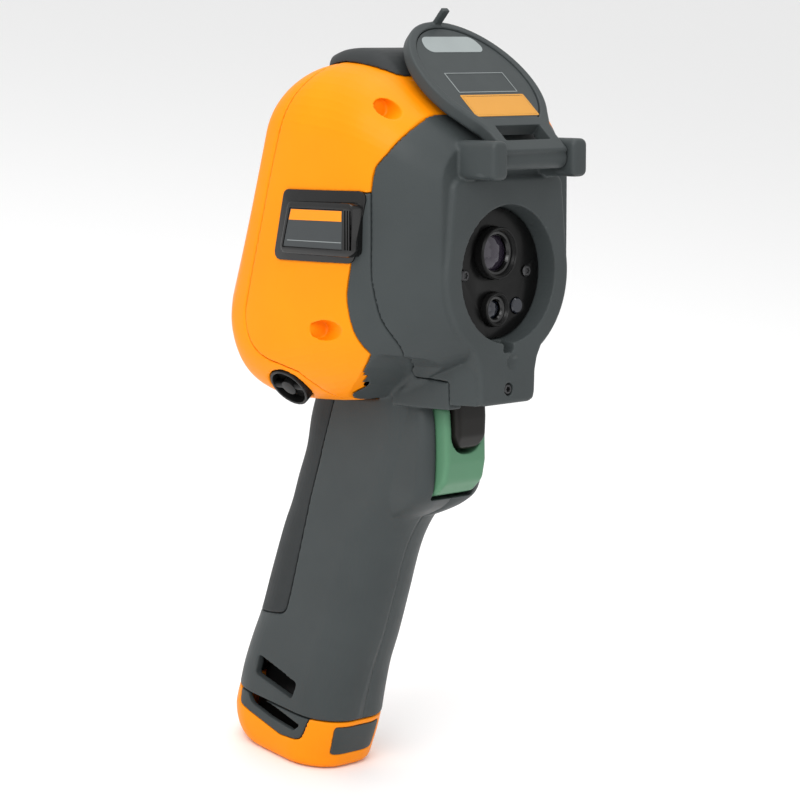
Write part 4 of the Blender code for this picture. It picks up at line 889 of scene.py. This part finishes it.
detail(turned("camera_retaining_ring", CAM_RETAINER, CAM_PLACE), GLOSS, "camera_barrel")
stands_in(turned("camera_lens_dome", CAM_DOME, CAM_PLACE), CLEAR_GLASS, "camera_lens")
stands_in(turned("pointer_window_disc", SPOT_DISC, SPOT_PLACE), CLEAR_GLASS, "pointer_window")


# ------------------------------------------------------------------ screws with a six-lobed drive
LOBE_DEPTH = 0.16


def lobed(radius, steps=72):
    """A six-lobed outline whose radius swings by LOBE_DEPTH about its mean."""
    turn = [2 * pi * i / steps for i in range(steps)]
    reach = [radius * (1 + LOBE_DEPTH * cos(6 * a)) for a in turn]
    return [(r * cos(a), r * sin(a)) for r, a in zip(reach, turn)]


def screw(node, radius, x, z, face, depth, drive):
    """A screw head seen from the front: chamfered rim and lobed drive, from face to face + depth along y."""
    place = OPTICAL @ shift(x, face, z)
    head = turned(node + "_head", [(0, 0), (radius * 0.8, 0), (radius, radius * 0.2), (radius, depth),
                                   (0, depth)], place)
    recess = prism("drive", "XZ", lobed(radius * 0.5), -1, drive, place=place)
    cut(head, recess)
    drop(recess)
    stands_in(head, DARK_STEEL, node)


screw("chin_screw", 1.9, 0, -40.4, 0.5, 2.0, 1.1)
for hand in ("left", "right"):
    low_corner, high_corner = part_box("plate_screw_" + hand)
    screw("plate_screw_" + hand, 2.0, (low_corner.x + high_corner.x) / 2 / MM, 0, 6.1, 0.6, 0.4)

# ------------------------------------------------------------------ badges: framed plate, coloured band, ribs
GROOVES_Y, GROOVE_HALF = (26.3, 27.5, 28.7), 0.28
BAND_SIDE = [(55.3, 22.7), (30.4, 22.9), (30.5, 19.3), (56.5, 19.0)]
LINE_SIDE = [(57.4, 12.0), (30.7, 12.2), (30.7, 11.9), (57.5, 11.7)]
for sign, hand in SIDES:
    frame_copy = copy_of("badge_bezel_" + hand, "badge_frame_" + hand)
    bm = bmesh.new()
    low, high = sorted((sign * 51.9, sign * 53.5))
    for y in GROOVES_Y:
        block_into(bm, (low, y - GROOVE_HALF, 9.6), (high, y + GROOVE_HALF, 23.2))
    grooves = make("grooves", bm)
    cut(frame_copy, grooves)
    drop(grooves)
    stands_in(bevelled(frame_copy, 0.3, 3), GLOSS, "badge_bezel_" + hand)
    low, high = sorted((sign * 52.25, sign * 52.38))
    band = prism("badge_band_" + hand, "YZ", BAND_SIDE, low, high)
    detail(band, LABEL_YELLOW, "badge_plate_" + hand)
    line = prism("badge_line_" + hand, "YZ", LINE_SIDE, low, high)
    detail(line, LINE_PALE, "badge_plate_" + hand)


# ------------------------------------------------------------------ plain marks on the cover's inner face
def mark(name, look, outline, inner=None):
    """A thin raised mark on the panel, hollow where an inner outline is given."""
    body = prism(name, "XZ", outline, COVER_INNER - 0.7, COVER_INNER - 0.45, 0, 0.08, place=COVER)
    if inner:
        hole = prism("hole", "XZ", inner, COVER_INNER - 2, COVER_INNER + 1, place=COVER)
        cut(body, hole)
        drop(hole)
    detail(body, look, "cover_panel")


mark("cover_patch", PATCH,
     rounded([(15.4, -49.4), (-15.4, -49.4), (-13.0, -57.4), (13.0, -57.4)], [3, 3, 4, 4]))
mark("cover_line_box", LINE_PALE, rounded_rect(30.0, 10.0, 0.3, (-0.4, -33.8)),
     rounded_rect(29.3, 9.3, 0.2, (-0.4, -33.8)))
mark("cover_label", LABEL_PALE, rounded_rect(32.4, 10.8, 0.5, (0, -22.2)))
mark("cover_label_border", LABEL_GREY, rounded_rect(31.2, 9.6, 0.3, (0, -22.2)),
     rounded_rect(30.6, 9.0, 0.2, (0, -22.2)))

# ------------------------------------------------------------------ keys and their plain symbols
ICONS = {
    "key_up": [(-1.4, -0.9), (1.4, -0.9), (0, 1.2)], "key_down": [(-1.4, 0.9), (0, -1.2), (1.4, 0.9)],
    "key_left": [(0.9, -1.4), (0.9, 1.4), (-1.2, 0)], "key_right": [(-0.9, -1.4), (1.2, 0), (-0.9, 1.4)],
    "key_gallery": rounded_rect(3.4, 2.4, 0.4), "key_power": arc((0, 0), 1.5, 0, 345, 24),
}
SOFT_ICON = rounded_rect(4.6, 0.8, 0.3)
for node, (kx, kv, _, _) in KEY_AREAS.items():
    top = max((FACE.inverted() @ vertex.co).y for vertex in frame["nodes"][node].data.vertices) / MM
    stands_in(bevelled(copy_of(node, node + "_cap"), 0.45, 3), KEYS, node)
    outline = [(kx + x, kv + z) for x, z in ICONS.get(node, SOFT_ICON)]
    detail(prism(node + "_symbol", "XZ", outline, top - 0.1, top + 0.06, place=FACE), ICON, node)

# ------------------------------------------------------------------ bevelled copies, and looks for the rest
COPIES = {
    "lens_plate": (PLATE, 0.3), "badge_plate_left": (LABEL_GREY, 0.1), "badge_plate_right": (LABEL_GREY, 0.1),
    "strap_anchor_left": (BLACK, 0.3), "strap_anchor_right": (BLACK, 0.3), "display_window": (SCREEN, 0.4),
    "display_gasket": (BLACK, 0.2), "port_block": (BLACK, 0.25), "memory_card": (GREY, 0.2),
    "cover_pin": (STEEL, 0.25), "main_trigger_pin": (STEEL, 0.25), "upper_trigger_pin": (STEEL, 0.25),
    "battery_sleeve": (BLACK, 0.5), "optics_carrier": (BLACK, 0.3), "battery_contacts": (STEEL, 0.15),
}
for node, (look, width) in COPIES.items():
    stands_in(bevelled(copy_of(node, node + "_piece"), width), look, node)
INSIDE_LOOKS = {"trigger_spring": STEEL, "processor_shield": STEEL, "battery_cells": FOIL,
                "main_board": BOARD, "camera_module": BOARD}
for node_name, node in frame["nodes"].items():
    node.data.materials.clear()
    node.data.materials.append(INSIDE_LOOKS.get(node_name, BLACK))

# ------------------------------------------------------------------ floor, light and camera
floor_mesh = bpy.data.meshes.new("floor")
bm = bmesh.new()
bmesh.ops.create_grid(bm, x_segments=1, y_segments=1, size=6)
bm.to_mesh(floor_mesh)
bm.free()
floor = bpy.data.objects.new("floor", floor_mesh)
bpy.context.scene.collection.objects.link(floor)
floor_look = bpy.data.materials.new("floor")
floor_look.use_nodes = True
floor_look.node_tree.nodes["Principled BSDF"].inputs["Base Color"].default_value = (0.95, 0.95, 0.95, 1)
floor_look.node_tree.nodes["Principled BSDF"].inputs["Roughness"].default_value = 0.6
floor.data.materials.append(floor_look)

world = bpy.data.worlds.new("studio")
world.use_nodes = True
world.node_tree.nodes["Background"].inputs["Color"].default_value = (1, 1, 1, 1)
world.node_tree.nodes["Background"].inputs["Strength"].default_value = 0.85
bpy.context.scene.world = world


def area_light(name, position, target, size, power):
    data = bpy.data.lights.new(name, "AREA")
    data.shape = "RECTANGLE"
    data.size, data.size_y = size
    data.energy = power
    light = bpy.data.objects.new(name, data)
    bpy.context.scene.collection.objects.link(light)
    light.location = position
    light.rotation_euler = (Vector(target) - Vector(position)).to_track_quat("-Z", "Y").to_euler()


area_light("key", (-0.9, -0.3, 0.9), (0, 0, 0.18), (0.7, 0.7), 8)
area_light("front_fill", (0.3, -1.2, 0.5), (0, 0, 0.15), (0.8, 0.8), 0.8)
area_light("top", (0, 0.1, 1.2), (0, 0, 0.1), (0.9, 0.9), 5)

AZIMUTH, ELEVATION = radians(45.8), radians(6.9)
EYE, FOCAL_LENGTH, SENSOR_WIDTH = (-774.4, -699.7, 82.1), 135.0, 36.0
forward = Vector((sin(AZIMUTH) * cos(ELEVATION), cos(AZIMUTH) * cos(ELEVATION), -sin(ELEVATION)))
right = Vector((cos(AZIMUTH), -sin(AZIMUTH), 0))
basis = Matrix((right, right.cross(forward), -forward)).transposed().to_4x4()
camera_data = bpy.data.cameras.new("camera")
camera_data.sensor_width = SENSOR_WIDTH
camera_data.lens = FOCAL_LENGTH
camera_data.clip_start = 0.01
camera = bpy.data.objects.new("camera", camera_data)
bpy.context.scene.collection.objects.link(camera)
camera.matrix_world = OPTICAL @ shift(*EYE) @ basis
bpy.context.scene.camera = camera
bpy.context.scene.view_settings.view_transform = "Standard"
